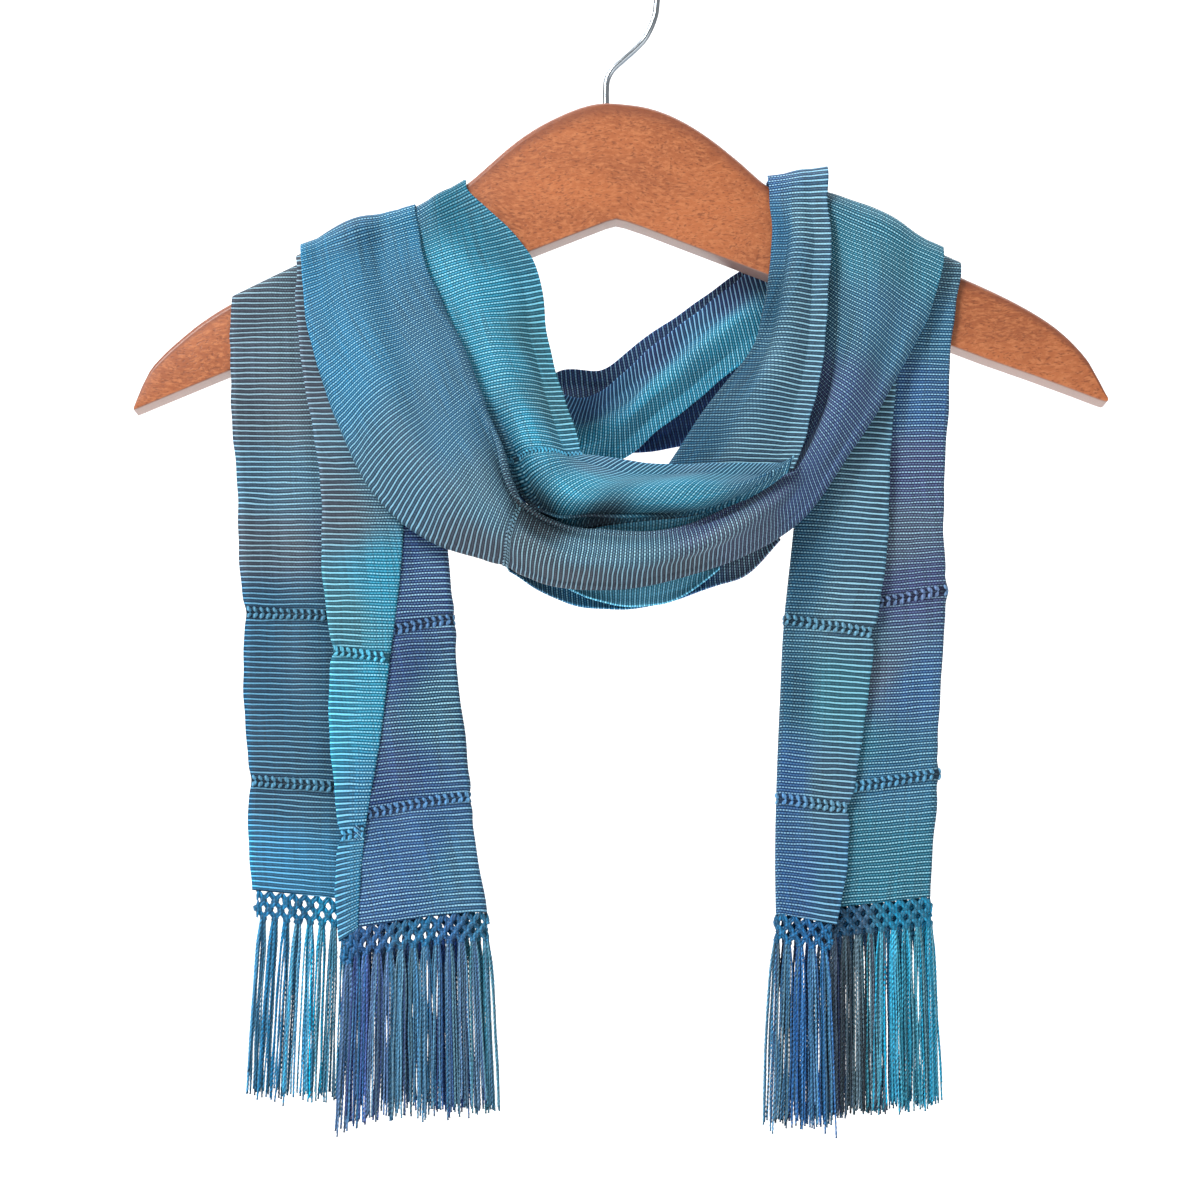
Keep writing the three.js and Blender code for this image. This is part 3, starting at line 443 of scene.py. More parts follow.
@dataclass
class Cloth:
    """One stretch of the scarf, as woven cloth shaped by its table.

    The subclasses give the section of the cloth at each row.
    """

    name: str
    rows: list[Row]
    sign: int
    stands_for: str
    flat: tuple[float, float]  # metres, the cut of the stretch
    held: Held
    patches: tuple[Patch, ...]
    lines: tuple[tuple[float, float], ...]  # place across, how unbroken the pale lines are
    lines_along: tuple[tuple[float, float], ...] = ((0.0, 1.0), (1.0, 1.0))
    hem_half: float = HEM_HALF  # mm, half the height of a band of hemstitch
    creases: tuple[Crease, ...] = ()
    hems: tuple[int, ...] = ()  # table rows with a band of hemstitch
    rests_on: tuple[str, ...] = ("hanger_board",)
    pitch: float = 1.0  # how much closer than the tails the ribs lie
    level: tuple[tuple[float, float], ...] = ((0.0, 0.0), (1.0, 0.0))  # share along, how level
    step: float = 1.25  # mm between rows of the mesh
    ripple: float = 0.35
    over: tuple[bool, bool] = (True, False)  # which ends lie over an arm
    rounded: tuple[bool, bool] = (True, True)  # which edges draw in over an arm
    thickness: float = 0.7
    hem_pull: float = 1.5  # mm that a band of hemstitch draws each edge in
    arm_pull: float = 4.2  # mm that the arm's ridge draws a rounded edge in
    held_for: tuple[float, float] = (30.0, 54.0)  # mm from an arm's end: last pulled, first free
    pulled: float = 0.12  # share of its creases that the cloth keeps where it is pulled
    patch_size: float = 110.0  # mm from patch to patch at which the dyes are well apart
    edge_glow: float = 0.7  # how much paler the selvedge's last yarns are
    sheet: Sheet = field(init=False)
    hem_at: list[float] = field(init=False)
    ridge_at: list[float] = field(init=False)

    def section(self, row: np.ndarray, width: float) -> np.ndarray:
        """The cloth's section at a row: mm across, mm out, mm down and layer, at each place."""
        raise NotImplementedError

    def extra(self, u: np.ndarray, along: np.ndarray) -> np.ndarray:
        """Height that the piece's own creases add, in mm, for shares across and mm along."""
        v = (along / along[-1])[:, None]
        height = np.zeros_like(u)
        width = self.sheet.across[:, -1:].mean()
        for c in self.creases:
            t = np.clip((v - c.start) / max(c.end - c.start, 1e-6), 0, 1)
            centre = c.here + (c.there - c.here) * t
            fade = np.sin(np.pi * t) ** 0.7
            height += c.depth * fade * np.exp(-(((u - centre) * width / c.half) ** 2))
        for at in self.hem_at:
            d = along[:, None] - at
            height += (-0.7 * bell(d, 0, 2.6) + 0.45 * bell(d, -6.5, 3.5)
                       + 0.45 * bell(d, 6.5, 3.5))
        pick = np.random.default_rng(SEED + len(self.name) * 13 + self.sign)
        for wave in (71, 53, 39, 29, 21):
            turn, lag = pick.uniform(0, 2 * math.pi, 2)
            run = u * width * math.cos(turn) + along[:, None] * math.sin(turn)
            height += self.ripple * wave / 60 * np.sin(2 * math.pi * run / wave + lag)
        layer = self.sheet.layer
        shown = np.where((layer > FOLDED_IN[0]) & (layer < FOLDED_IN[1]), 0.0, 1.0)
        return height * shown * self.loose(along)[:, None]

    def loose(self, along: np.ndarray) -> np.ndarray:
        """How free the cloth is to crease: 0 where it is pulled over an arm, 1 elsewhere."""
        free = np.ones_like(along)
        if self.over[0]:
            free *= self.pulled + (1 - self.pulled) * step_up(along, *self.held_for)
        if self.over[1]:
            free *= self.pulled + (1 - self.pulled) * step_up(along[-1] - along, *self.held_for)
        return free

    def shape(self) -> Sheet:
        """Works out the piece's points from its table.

        Returns:
            The cloth's points and measures.
        """
        table = np.asarray(self.rows, float)
        mids = (table[:, 0:3] + table[:, 3:6]) / 2
        knots = np.concatenate([[0], np.cumsum(np.linalg.norm(np.diff(mids, axis=0), axis=1))])
        self.hem_at = [float(knots[i]) for i in self.hems]
        tops = ((knots[3] + knots[4]) / 2, (knots[-4] + knots[-5]) / 2)
        self.ridge_at = [float(top) for top, there in zip(tops, self.over) if there]
        at = np.linspace(0, knots[-1], int(knots[-1] / self.step) + 1)
        fine = steady(self.rows, knots, at)
        inner, outer = fine[:, 0:3], fine[:, 3:6]
        across = outer - inner
        width = np.linalg.norm(across, axis=1)
        across = unit(across)
        out = unit(np.cross(across, unit(np.gradient((inner + outer) / 2, axis=0)))) * self.sign
        cuts = np.stack([self.section(r, w) for r, w in zip(fine, width)])
        points = (inner[:, None] + across[:, None] * cuts[..., 0:1]
                  + out[:, None] * cuts[..., 1:2])
        points[..., 2] -= cuts[..., 2]
        arc = np.cumsum(np.linalg.norm(np.diff(points, axis=1), axis=2), axis=1)
        arc = np.concatenate([np.zeros((len(at), 1)), arc], axis=1)
        self.sheet = Sheet(points, out, cuts[..., 3], arc, at)
        share = arc / arc[:, -1:]
        points += self.sheet.normals() * self.extra(share, at)[..., None]
        self.nip(share)
        return self.sheet

    def nip(self, share: np.ndarray) -> None:
        """Draws the edges in at the hemstitch and over an arm, and makes them wander a little."""
        run = unit(np.gradient(self.sheet.points, axis=1))
        along = self.sheet.along
        pull = sum((self.hem_pull * bell(along, at, 4.5) for at in self.hem_at), 0 * along)
        corner = sum((self.arm_pull * bell(along, at, 5.0) for at in self.ridge_at), 0 * along)
        loose = self.loose(along)
        for edge, way, rounded in ((0.0, 1.0, self.rounded[0]), (1.0, -1.0, self.rounded[1])):
            near = np.exp(-np.abs(share - edge) * self.sheet.across[:, -1:] / 9)
            wander = loose * (0.3 * np.sin(along / 9.7 + 5 * edge)
                              + 0.15 * np.sin(along / 3.1 + edge))
            shift = way * (pull + rounded * corner) + wander
            self.sheet.points += run * (near * shift[:, None])[..., None]

    def ribs(self) -> np.ndarray:
        """The weave's measure along the cloth at each point, level where the ribs hang level."""
        s = self.sheet
        level = np.interp(s.along / s.along[-1], *zip(*self.level))[:, None]
        height = s.points[..., 2]
        middle = height[:, s.layer[0] <= 1].mean(axis=1, keepdims=True)
        return (s.along[:, None] + level * (middle - height)) * self.pitch

    def colours(self) -> np.ndarray:
        """Dye at each point, blended between the patches, with the painted shade and painted light
        that some patches carry.

        Returns:
            Linear colours, with the paleness of the picks as a fourth number.
        """
        v = (self.sheet.along / self.sheet.along[-1])[:, None]
        layers = 1 + self.sheet.layer[0, -1] // 3
        wide = self.sheet.across[:, -1].mean() / layers / self.patch_size
        tall = self.sheet.along[-1] / self.patch_size
        total = np.zeros(self.sheet.layer.shape + (1,))
        colour = np.zeros(self.sheet.layer.shape + (4,))
        for p in self.patches:
            d2 = ((self.sheet.layer - p.across) * wide) ** 2 + ((v - p.along) * tall) ** 2
            weight = (1 / (d2 + 0.003) ** 1.8)[..., None]
            colour += weight * np.array(linear(p.dye.value)[:3] + (p.picks,))
            total += weight
        colour /= total
        across = self.sheet.across
        edge = np.exp(-np.minimum(across, across[:, -1:] - across) / 0.7)[..., None]
        colour[..., :3] *= 1 + self.edge_glow * edge
        return colour

    def build(self) -> bpy.types.Object:
        """Makes the cloth's mesh, with its weave measures and dye.

        Returns:
            The piece.
        """
        s = self.shape()
        n, m = s.points.shape[:2]
        k = np.arange(n * m).reshape(n, m)
        faces = np.stack([k[:-1, :-1], k[1:, :-1], k[1:, 1:], k[:-1, 1:]], axis=-1).reshape(-1, 4)
        a, b = s.points[1, 0] - s.points[0, 0], s.points[0, 1] - s.points[0, 0]
        if np.dot(np.cross(a, b), s.normals()[0, 0]) < 0:
            faces = faces[:, ::-1]
        mesh = bpy.data.meshes.new(self.name)
        mesh.from_pydata((s.points.reshape(-1, 3) * MM).tolist(), [], faces.tolist())
        place = np.stack([s.across, self.ribs()], axis=-1).reshape(-1, 2)
        layer = mesh.uv_layers.new(name="Weave")
        corner = np.empty(len(mesh.loops), int)
        mesh.loops.foreach_get("vertex_index", corner)
        layer.data.foreach_set("uv", (place[corner] * MM).ravel())
        # Band marks the hemstitch, where the weave paints shade over its openwork.
        band = sum((step_up(self.hem_half - np.abs(s.along - at), 0, 1.0) for at in self.hem_at),
                   0 * s.along)[:, None]
        solid = (np.interp(s.layer, *zip(*self.lines))
                 * np.interp(s.along / s.along[-1], *zip(*self.lines_along))[:, None])
        # The Dye colours carry the patches' painted shade and painted light too.
        paint(mesh, "Dye", self.colours().reshape(-1, 4))
        paint(mesh, "Band", np.broadcast_to(band, solid.shape).ravel())
        paint(mesh, "Solid", solid.ravel())
        mesh.polygons.foreach_set("use_smooth", [True] * len(mesh.polygons))
        piece = bpy.data.objects.new(self.name, mesh)
        bpy.context.scene.collection.objects.link(piece)
        shell = piece.modifiers.new("thickness", "SOLIDIFY")
        shell.thickness, shell.offset = self.thickness * MM, 0.0
        return piece

    def declare(self, piece: bpy.types.Object, extras: Sequence[bpy.types.Object]) -> None:
        """Attaches the piece to the root body and hides the model part that it stands for."""
        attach(piece, "root")
        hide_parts(self.stands_for)
        list(self.rests_on)


@dataclass
class Swath(Cloth):
    """A stretch that lies open, crowned between two edges that may curl under."""

    lip: float = 8.0
    places: int = 44

    def section(self, row: np.ndarray, width: float) -> np.ndarray:
        """The crowned span with its two lips."""
        bow, in_curl, out_curl = row[6:9]
        start = curl_reach(in_curl, self.lip)
        end = width - curl_reach(out_curl, self.lip)
        k = np.arange(1, 11) / 10

        def roll(curl: float) -> tuple[np.ndarray, np.ndarray]:
            """Offsets past an edge and to the back."""
            angle = max(math.radians(curl), 0.01)
            radius = self.lip / angle
            return radius * np.sin(angle * k), radius * (1 - np.cos(angle * k))

        first, last = roll(in_curl), roll(out_curl)
        u = np.linspace(0, 1, self.places + 1)
        x = np.concatenate([start - first[0][::-1], start + (end - start) * u, end + last[0]])
        y = np.concatenate([-first[1][::-1], bow * np.sin(np.pi * u), -last[1]])
        return np.stack([x, y, 0 * x, (x - x[0]) / max(x[-1] - x[0], 1e-6)], axis=1)


def half_turn(at: float, low: float, high: float, side: int, count: int, layer: float,
              down: float = 0.0) -> Section:
    """A fold's half circle, from one layer to the next.

    Args:
        at: mm across to where the turn starts.
        low: height of the layer that it comes from, mm out.
        high: height of the layer that it goes to.
        side: 1 where it bulges on across the cloth, -1 where it bulges back.
        count: how many points.
        layer: the number given to its middle.
        down: how much lower the cloth hangs there, in mm.

    Returns:
        The section's points.
    """
    radius = (high - low) / 2
    steps = [(k / (count + 1)) for k in range(1, count + 1)]
    return [(at + side * abs(radius) * math.sin(math.pi * t),
             low + radius * (1 - math.cos(math.pi * t)), down, layer - 0.9 + 1.8 * t)
            for t in steps]


def lay(start: float, end: float, height: float, count: int, layer: float,
        falls: Callable[[float], float]) -> Section:
    """A layer's flat run of points from start to end across, counted from its number."""
    return [(x, height, falls(x), layer + t) for t, x in
            zip(np.linspace(0, 1, count), np.linspace(start, end, count))]


# How low the left tail's front layer hangs at its fold and at its selvedge, as shares of the
# drop: mm below the hook's inside, share.
FRONT_FALLS = (((200, 0.9), (390, 0.94), (440, 0.63)),
               ((200, 0.8), (313, 0.8), (390, 1.13), (440, 1.0)))


@dataclass
class LeftTail(Cloth):
    """The left tail: a back layer, the fold at its right, and a front layer pleated over."""

    tuck: float = 6.0  # how far the pleat reaches behind the front layer

    def section(self, row: np.ndarray, width: float) -> np.ndarray:
        """Back layer, fold, middle layer, the pleat's two turns and the front layer."""
        pleat, free, near, far, drop = row[6:11]
        flat = width - near / 2
        gap = far - near
        mid = near + 0.25 * gap
        tuck = self.tuck * min(max((gap - 0.55) / 0.8, 0.05), 1.0)
        edge = pleat * width

        low = np.interp(-row[2], *zip(*FRONT_FALLS[0]))
        lowest = np.interp(-row[2], *zip(*FRONT_FALLS[1]))

        def falls(x: float) -> float:
            """The middle layer hangs lower the further it is from the fold."""
            return 0.75 * drop * max((flat - x) / (flat - free * width), 0.0) ** 1.2

        def front(x: float) -> float:
            """The front layer hangs lower still, and more at the hem."""
            return drop * (low + (lowest - low) * (edge - x) / (edge - free * width))

        def between(x: float) -> float:
            """The tucked run joins the two."""
            t = (x - edge + tuck) / tuck
            return falls(edge - tuck) * (1 - t) + front(edge) * t

        u = np.linspace(0, 1, 30)
        wave = 0.03 * drop * np.sin(9 * u * flat / width + row[2] / 60) * (1 - u)
        back = list(zip(u * flat, wave, 0 * u, u))
        return np.array(back + half_turn(flat, 0, near, 1, 9, 2)
                        + lay(flat, edge - tuck, near, 22, 3, falls)
                        + half_turn(edge - tuck, near, mid, -1, 3, 5, falls(edge - tuck))
                        + lay(edge - 0.95 * tuck, edge - 0.6, mid, 5, 6, between)
                        + half_turn(edge - 0.5, mid, far, 1, 5, 8, front(edge))
                        + lay(edge - 0.7, free * width, far, 22, 9, front))


@dataclass
class RightTail(Cloth):
    """The right tail: a hidden layer, the right fold, a middle layer, the left fold, a front."""

    def section(self, row: np.ndarray, width: float) -> np.ndarray:
        """Three layers joined by two folds."""
        hidden, free, near, far, drop = row[6:11]
        right, left = width - near / 2, (far - near) / 2

        def level(x: float) -> float:
            """The two layers at the back hang straight."""
            return 0.0 * x

        def falls(x: float) -> float:
            """Cloth hangs lower the further it is from the left fold."""
            return drop * (x - left) / (free * width - left)

        return np.array(lay(hidden * width, right, 0, 22, 0, level)
                        + half_turn(right, 0, near, 1, 9, 2)
                        + lay(right, left, near, 34, 3, level)
                        + half_turn(left, near, far, -1, 9, 5)
                        + lay(left, free * width, far, 26, 6, falls))


def paint(mesh: bpy.types.Mesh, name: str, values: np.ndarray) -> None:
    """Keeps a number or colour at each of a mesh's points."""
    kind = "FLOAT_COLOR" if values.ndim == 2 else "FLOAT"
    layer = mesh.attributes.new(name, kind, "POINT")
    layer.data.foreach_set("color" if kind == "FLOAT_COLOR" else "value",
                           np.ascontiguousarray(values, np.float32).ravel())


class Finish:
    """A finish and the one material made from it."""

    title: str

    def material(self) -> bpy.types.Material:
        """The finish's material, made once."""
        made = bpy.data.materials.get(self.title)
        if made is None:
            made = bpy.data.materials.new(self.title)
            made.use_nodes = True
            made.node_tree.nodes.clear()
            self.lay(made.node_tree)
        return made

    def lay(self, tree: bpy.types.NodeTree) -> None:
        """Puts the finish's nodes in a tree."""
        raise NotImplementedError


@dataclass(frozen=True)
class RibbedWeave(Finish):
    """Plain warp-faced weave of mercerised cotton, with a silky sheen.

    A fine rib crosses the cloth; pale yarn shows as rows of dots on it, and near the
    selvedges as unbroken lines with darker mauve ones between.
    """

    title: str = "mercerised cotton, ribbed weave"
    row: float = 1.2  # mm between ribs
    dot: float = 1.35  # mm between pale picks along a rib
    pale: str = "#b6ecfa"
    dusk: str = "#33353f"

    def lay(self, tree: bpy.types.NodeTree) -> None:
        """Builds the weave from the cloth's own measure across and along, with painted shade in the
        grooves between the ribs and over the hemstitch's openwork.
        """
        math_node, ramp, mix = "ShaderNodeMath", "ShaderNodeMapRange", "ShaderNodeMix"
        uv = add(tree, "ShaderNodeUVMap", uv_map="Weave")
        counted = add(tree, "ShaderNodeMapping", Vector=uv,
                      Scale=(1000 / self.dot, 1000 / self.row, 1.0))
        at = add(tree, "ShaderNodeSeparateXYZ", Vector=counted)
        broad = add(tree, "ShaderNodeMapping", Vector=uv, Scale=(50.0, 90.0, 1.0))
        drift = add(tree, "ShaderNodeTexNoise", noise_dimensions="2D", Vector=broad, Scale=1.0,
                    Detail=2.0)
        rib = add(tree, math_node, operation="MULTIPLY_ADD", i0=drift, i1=1.1,
                  i2=at.outputs["Y"])
        ridge = add(tree, math_node, operation="PINGPONG", i0=rib, i1=0.5)
        half_on = add(tree, math_node, operation="ADD", i0=rib, i1=0.5)
        pair = add(tree, math_node, operation="PINGPONG", i0=half_on, i1=1.0)
        count = add(tree, math_node, operation="FLOOR", i0=rib)
        moved = add(tree, math_node, operation="MULTIPLY_ADD", i0=count, i1=0.5,
                    i2=at.outputs["X"])
        pick = add(tree, math_node, operation="PINGPONG", i0=moved, i1=0.5)
        solid = add(tree, "ShaderNodeAttribute", attribute_name="Solid").outputs["Fac"]
        band = add(tree, "ShaderNodeAttribute", attribute_name="Band").outputs["Fac"]
        dyed = add(tree, "ShaderNodeAttribute", attribute_name="Dye")
        dye, picks = dyed.outputs["Color"], dyed.outputs["Alpha"]

        warp_way = add(tree, "ShaderNodeMapping", Vector=uv, Scale=(800.0, 22.0, 1.0))
        streak = add(tree, "ShaderNodeTexNoise", noise_dimensions="2D", Vector=warp_way, Scale=1.0,
                     Detail=3.0, Roughness=0.6)
        tone = add(tree, ramp, Value=streak, From_Min=0.3, From_Max=0.7, To_Min=0.45, To_Max=0.86)
        yarn = add(tree, "ShaderNodeVectorMath", operation="SCALE", i0=dye, i3=tone)
        # Painted shade: the dye at 9%, laid in the grooves between the ribs and over the
        # hemstitch's openwork.
        deep = add(tree, "ShaderNodeVectorMath", operation="SCALE", i0=dye, i3=0.09)
        bright = add(tree, "ShaderNodeVectorMath", operation="SCALE", i0=dye, i3=1.9)
        # How much painted shade darkens the yarn towards each groove between the ribs.
        groove_shade = add(tree, ramp, interpolation_type="SMOOTHSTEP", Value=ridge, From_Min=0.02,
                     From_Max=0.3, To_Min=0.92, To_Max=0.0)
        ground = add(tree, mix, data_type="RGBA", i0=groove_shade, i6=yarn, i7=deep)

        between = add(tree, ramp, interpolation_type="SMOOTHSTEP", Value=pair, From_Min=0.2,
                      From_Max=0.55, To_Min=0.5, To_Max=0.0)
        dusky = add(tree, math_node, operation="MULTIPLY", i0=between, i1=solid)
        ground = add(tree, mix, data_type="RGBA", i0=dusky, i6=ground, i7=linear(self.dusk))

        on_rib = add(tree, ramp, interpolation_type="SMOOTHSTEP", Value=ridge, From_Min=0.17,
                     From_Max=0.38)
        on_pick = add(tree, ramp, interpolation_type="SMOOTHSTEP", Value=pick, From_Min=0.09,
                      From_Max=0.3)
        every_other = add(tree, ramp, Value=pair, From_Min=0.3, From_Max=0.7, To_Min=0.3)
        dots = add(tree, math_node, operation="MULTIPLY", i0=on_rib, i1=on_pick)
        dotted = add(tree, math_node, operation="MULTIPLY", i0=dots, i1=every_other)
        line = add(tree, ramp, interpolation_type="SMOOTHSTEP", Value=pair, From_Min=0.58,
                   From_Max=0.84)
        shown = add(tree, mix, i0=solid, i2=dotted, i3=line)
        strength = add(tree, mix, i0=solid, i2=picks, i3=0.92)
        light = add(tree, math_node, operation="MULTIPLY", i0=shown, i1=strength)
        on_line = add(tree, math_node, operation="MULTIPLY", i0=picks, i1=0.6)
        whiteness = add(tree, mix, i0=solid, i2=0.85, i3=on_line)
        lit = add(tree, mix, data_type="RGBA", i0=whiteness, i6=bright, i7=linear(self.pale))
        colour = add(tree, mix, data_type="RGBA", i0=light, i6=ground, i7=lit)
        # The band of hemstitch is darkened as painted shade for its holes and the shadow between
        # its stitches.
        openwork_shade = add(tree, math_node, operation="MULTIPLY", i0=band, i1=0.85)
        colour = add(tree, mix, data_type="RGBA", i0=openwork_shade, i6=colour, i7=deep)

        raised = add(tree, math_node, operation="MULTIPLY_ADD", i0=dotted, i1=0.3, i2=ridge)
        bump = add(tree, "ShaderNodeBump", Height=raised, Strength=0.8, Distance=0.0005)
        shader = add(tree, "ShaderNodeBsdfPrincipled", Base_Color=colour, Roughness=0.5,
                     Specular_IOR_Level=0.18, Sheen_Weight=0.03, Sheen_Roughness=0.4, Normal=bump)
        add(tree, "ShaderNodeOutputMaterial", Surface=shader)


@dataclass(frozen=True)
class PliedYarn(Finish):
    """Two-ply mercerised yarn: dyed in lengths, with the ply's slant drawn as painted shade and
    painted highlight.
    """

    title: str = "two-ply mercerised yarn"
    ply: float = 2.2  # mm from ply to ply, drawn coarser than the real 1 mm so that it shows

    def lay(self, tree: bpy.types.NodeTree) -> None:
        """Dye from the yarn's points, banded along its length with painted shade and highlight for
        the twist.
        """
        dye = add(tree, "ShaderNodeAttribute", attribute_name="Dye").outputs["Color"]
        run = add(tree, "ShaderNodeAttribute", attribute_name="Run").outputs["Fac"]
        place = add(tree, "ShaderNodeTexCoord").outputs["Object"]
        side = add(tree, "ShaderNodeSeparateXYZ", Vector=place).outputs["X"]
        slant = add(tree, "ShaderNodeMath", operation="MULTIPLY", i0=side, i1=700.0)
        turns = add(tree, "ShaderNodeMath", operation="MULTIPLY_ADD", i0=run, i1=1000 / self.ply,
                    i2=slant)
        # The twist's bands: painted shade in the grooves between the plies, painted highlight on
        # their crowns.
        twist = add(tree, "ShaderNodeMath", operation="PINGPONG", i0=turns, i1=0.5)
        ply = add(tree, "ShaderNodeMapRange", Value=twist, From_Max=0.5, To_Min=0.6, To_Max=1.25)
        fibre = add(tree, "ShaderNodeTexNoise", Vector=place, Scale=900.0, Detail=1.0)
        fuzz = add(tree, "ShaderNodeMapRange", Value=fibre, From_Min=0.3, From_Max=0.7,
                   To_Min=0.7, To_Max=1.25)
        tone = add(tree, "ShaderNodeMath", operation="MULTIPLY", i0=ply, i1=fuzz)
        colour = add(tree, "ShaderNodeVectorMath", operation="SCALE", i0=dye, i3=tone)
        bump = add(tree, "ShaderNodeBump", Height=fibre, Strength=0.4, Distance=0.0002)
        shader = add(tree, "ShaderNodeBsdfPrincipled", Base_Color=colour, Roughness=0.42,
                     Specular_IOR_Level=0.3, Sheen_Weight=0.05, Sheen_Roughness=0.35, Normal=bump)
        add(tree, "ShaderNodeOutputMaterial", Surface=shader)


@dataclass(frozen=True)
class OiledMahogany(Finish):
    """Sawn and sanded mahogany under satin lacquer: short dark pores over soft, broad figure."""

    title: str = "mahogany, satin lacquer"
    body: str = "#ac6238"
    dark: str = "#92502e"
    pale: str = "#bc7549"
    pore: str = "#753d22"
    # Painted shade along the board's top edge.
    rim: str = "#77402c"
    # Greyer tone of the faces that turn down.
    underside_tone: str = "#8c7168"

    def lay(self, tree: bpy.types.NodeTree) -> None:
        """Figure and flecks from the place in the wood, with painted shade along the board's top
        edge and a greyer tone on the faces that turn down.
        """
        ramp, mix = "ShaderNodeMapRange", "ShaderNodeMix"
        place = add(tree, "ShaderNodeTexCoord").outputs["Object"]
        bend = add(tree, "ShaderNodeTexNoise", Vector=place, Scale=26.0, Detail=2.0)
        warp = add(tree, mix, data_type="VECTOR", i0=0.014, i4=place, i5=bend.outputs["Color"])
        broad = add(tree, "ShaderNodeMapping", Vector=warp, Scale=(14.0, 30.0, 38.0))
        figure = add(tree, "ShaderNodeTexNoise", Vector=broad, Scale=1.0, Detail=3.0)
        fine = add(tree, "ShaderNodeMapping", Vector=warp, Scale=(330.0, 800.0, 800.0))
        mottle = add(tree, "ShaderNodeTexNoise", Vector=fine, Scale=1.0, Detail=4.0, Roughness=0.65)
        tubes = add(tree, "ShaderNodeMapping", Vector=warp, Scale=(520.0, 1500.0, 1500.0))
        pores = add(tree, "ShaderNodeTexNoise", Vector=tubes, Scale=1.0, Detail=1.0)

        soft = add(tree, ramp, interpolation_type="SMOOTHSTEP", Value=figure, From_Min=0.3,
                   From_Max=0.66)
        colour = add(tree, mix, data_type="RGBA", i0=soft, i6=linear(self.dark),
                     i7=linear(self.body))
        bright = add(tree, ramp, interpolation_type="SMOOTHSTEP", Value=mottle, From_Min=0.42,
                     From_Max=0.66, To_Max=0.75)
        colour = add(tree, mix, data_type="RGBA", i0=bright, i6=colour, i7=linear(self.pale))
        hole = add(tree, ramp, interpolation_type="SMOOTHSTEP", Value=pores, From_Min=0.55,
                   From_Max=0.68, To_Max=0.7)
        colour = add(tree, mix, data_type="RGBA", i0=hole, i6=colour, i7=linear(self.pore))

        # Painted shade along the board's upper edges: the rim colour where the Rim mark is near
        # one, broken up by the figure.
        rim = add(tree, "ShaderNodeAttribute", attribute_name="Rim").outputs["Fac"]
        top_edge_shade = add(tree, "ShaderNodeMath", operation="MULTIPLY_ADD", i0=figure, i1=0.16, i2=rim)
        edge = add(tree, ramp, interpolation_type="SMOOTHSTEP", Value=top_edge_shade, From_Min=0.96,
                   From_Max=1.08, To_Max=0.7)
        colour = add(tree, mix, data_type="RGBA", i0=edge, i6=colour, i7=linear(self.rim))
        # Faces that turn down take the greyer tone.
        facing = add(tree, "ShaderNodeSeparateXYZ",
                     Vector=add(tree, "ShaderNodeNewGeometry").outputs["Normal"])
        below = add(tree, ramp, Value=facing.outputs["Z"], From_Min=-0.5, From_Max=-0.8,
                    To_Max=0.8)
        colour = add(tree, mix, data_type="RGBA", i0=below, i6=colour, i7=linear(self.underside_tone))

        height = add(tree, "ShaderNodeMath", operation="MULTIPLY_ADD", i0=hole, i1=-1.0, i2=mottle)
        bump = add(tree, "ShaderNodeBump", Height=height, Strength=0.3, Distance=0.0002)
        shader = add(tree, "ShaderNodeBsdfPrincipled", Base_Color=colour, Roughness=0.42,
                     Specular_IOR_Level=0.4, Coat_Weight=0.2, Coat_Roughness=0.25, Normal=bump)
        add(tree, "ShaderNodeOutputMaterial", Surface=shader)


@dataclass(frozen=True)
class PlatedSteel(Finish):
    """Drawn steel wire, nickel plated and bright, with faint drawing marks."""

    title: str = "nickel-plated wire"

    def lay(self, tree: bpy.types.NodeTree) -> None:
        """Bright metal with a little unevenness in its polish."""
        place = add(tree, "ShaderNodeTexCoord").outputs["Object"]
        marks = add(tree, "ShaderNodeTexNoise", Vector=place, Scale=240.0, Detail=3.0)
        polish = add(tree, "ShaderNodeMapRange", Value=marks, From_Min=0.3, From_Max=0.7,
                     To_Min=0.14, To_Max=0.28)
        bump = add(tree, "ShaderNodeBump", Height=marks, Strength=0.1, Distance=0.0001)
        shader = add(tree, "ShaderNodeBsdfPrincipled", Base_Color=linear("#aeb6bd"), Metallic=1.0,
                     Roughness=polish, Normal=bump)
        add(tree, "ShaderNodeOutputMaterial", Surface=shader)


@dataclass(frozen=True)
class StudioPaint(Finish):
    """Matt white paint of a studio sweep."""

    title: str = "matt white sweep"

    def lay(self, tree: bpy.types.NodeTree) -> None:
        """Plain white."""
        shader = add(tree, "ShaderNodeBsdfPrincipled", Base_Color=linear("#f7f7f7"), Roughness=0.9)
        add(tree, "ShaderNodeOutputMaterial", Surface=shader)


def evaluated_copy(worker: bpy.types.Object, name: str) -> bpy.types.Object:
    """A plain-mesh object made from another with its modifiers, which is then removed.

    Args:
        worker: the object with modifiers.
        name: the new object's name.

    Returns:
        The new object.
    """
    graph = bpy.context.evaluated_depsgraph_get()
    mesh = bpy.data.meshes.new_from_object(worker.evaluated_get(graph), depsgraph=graph)
    bpy.data.objects.remove(worker)
    mesh.name = name
    made = bpy.data.objects.new(name, mesh)
    bpy.context.scene.collection.objects.link(made)
    return made


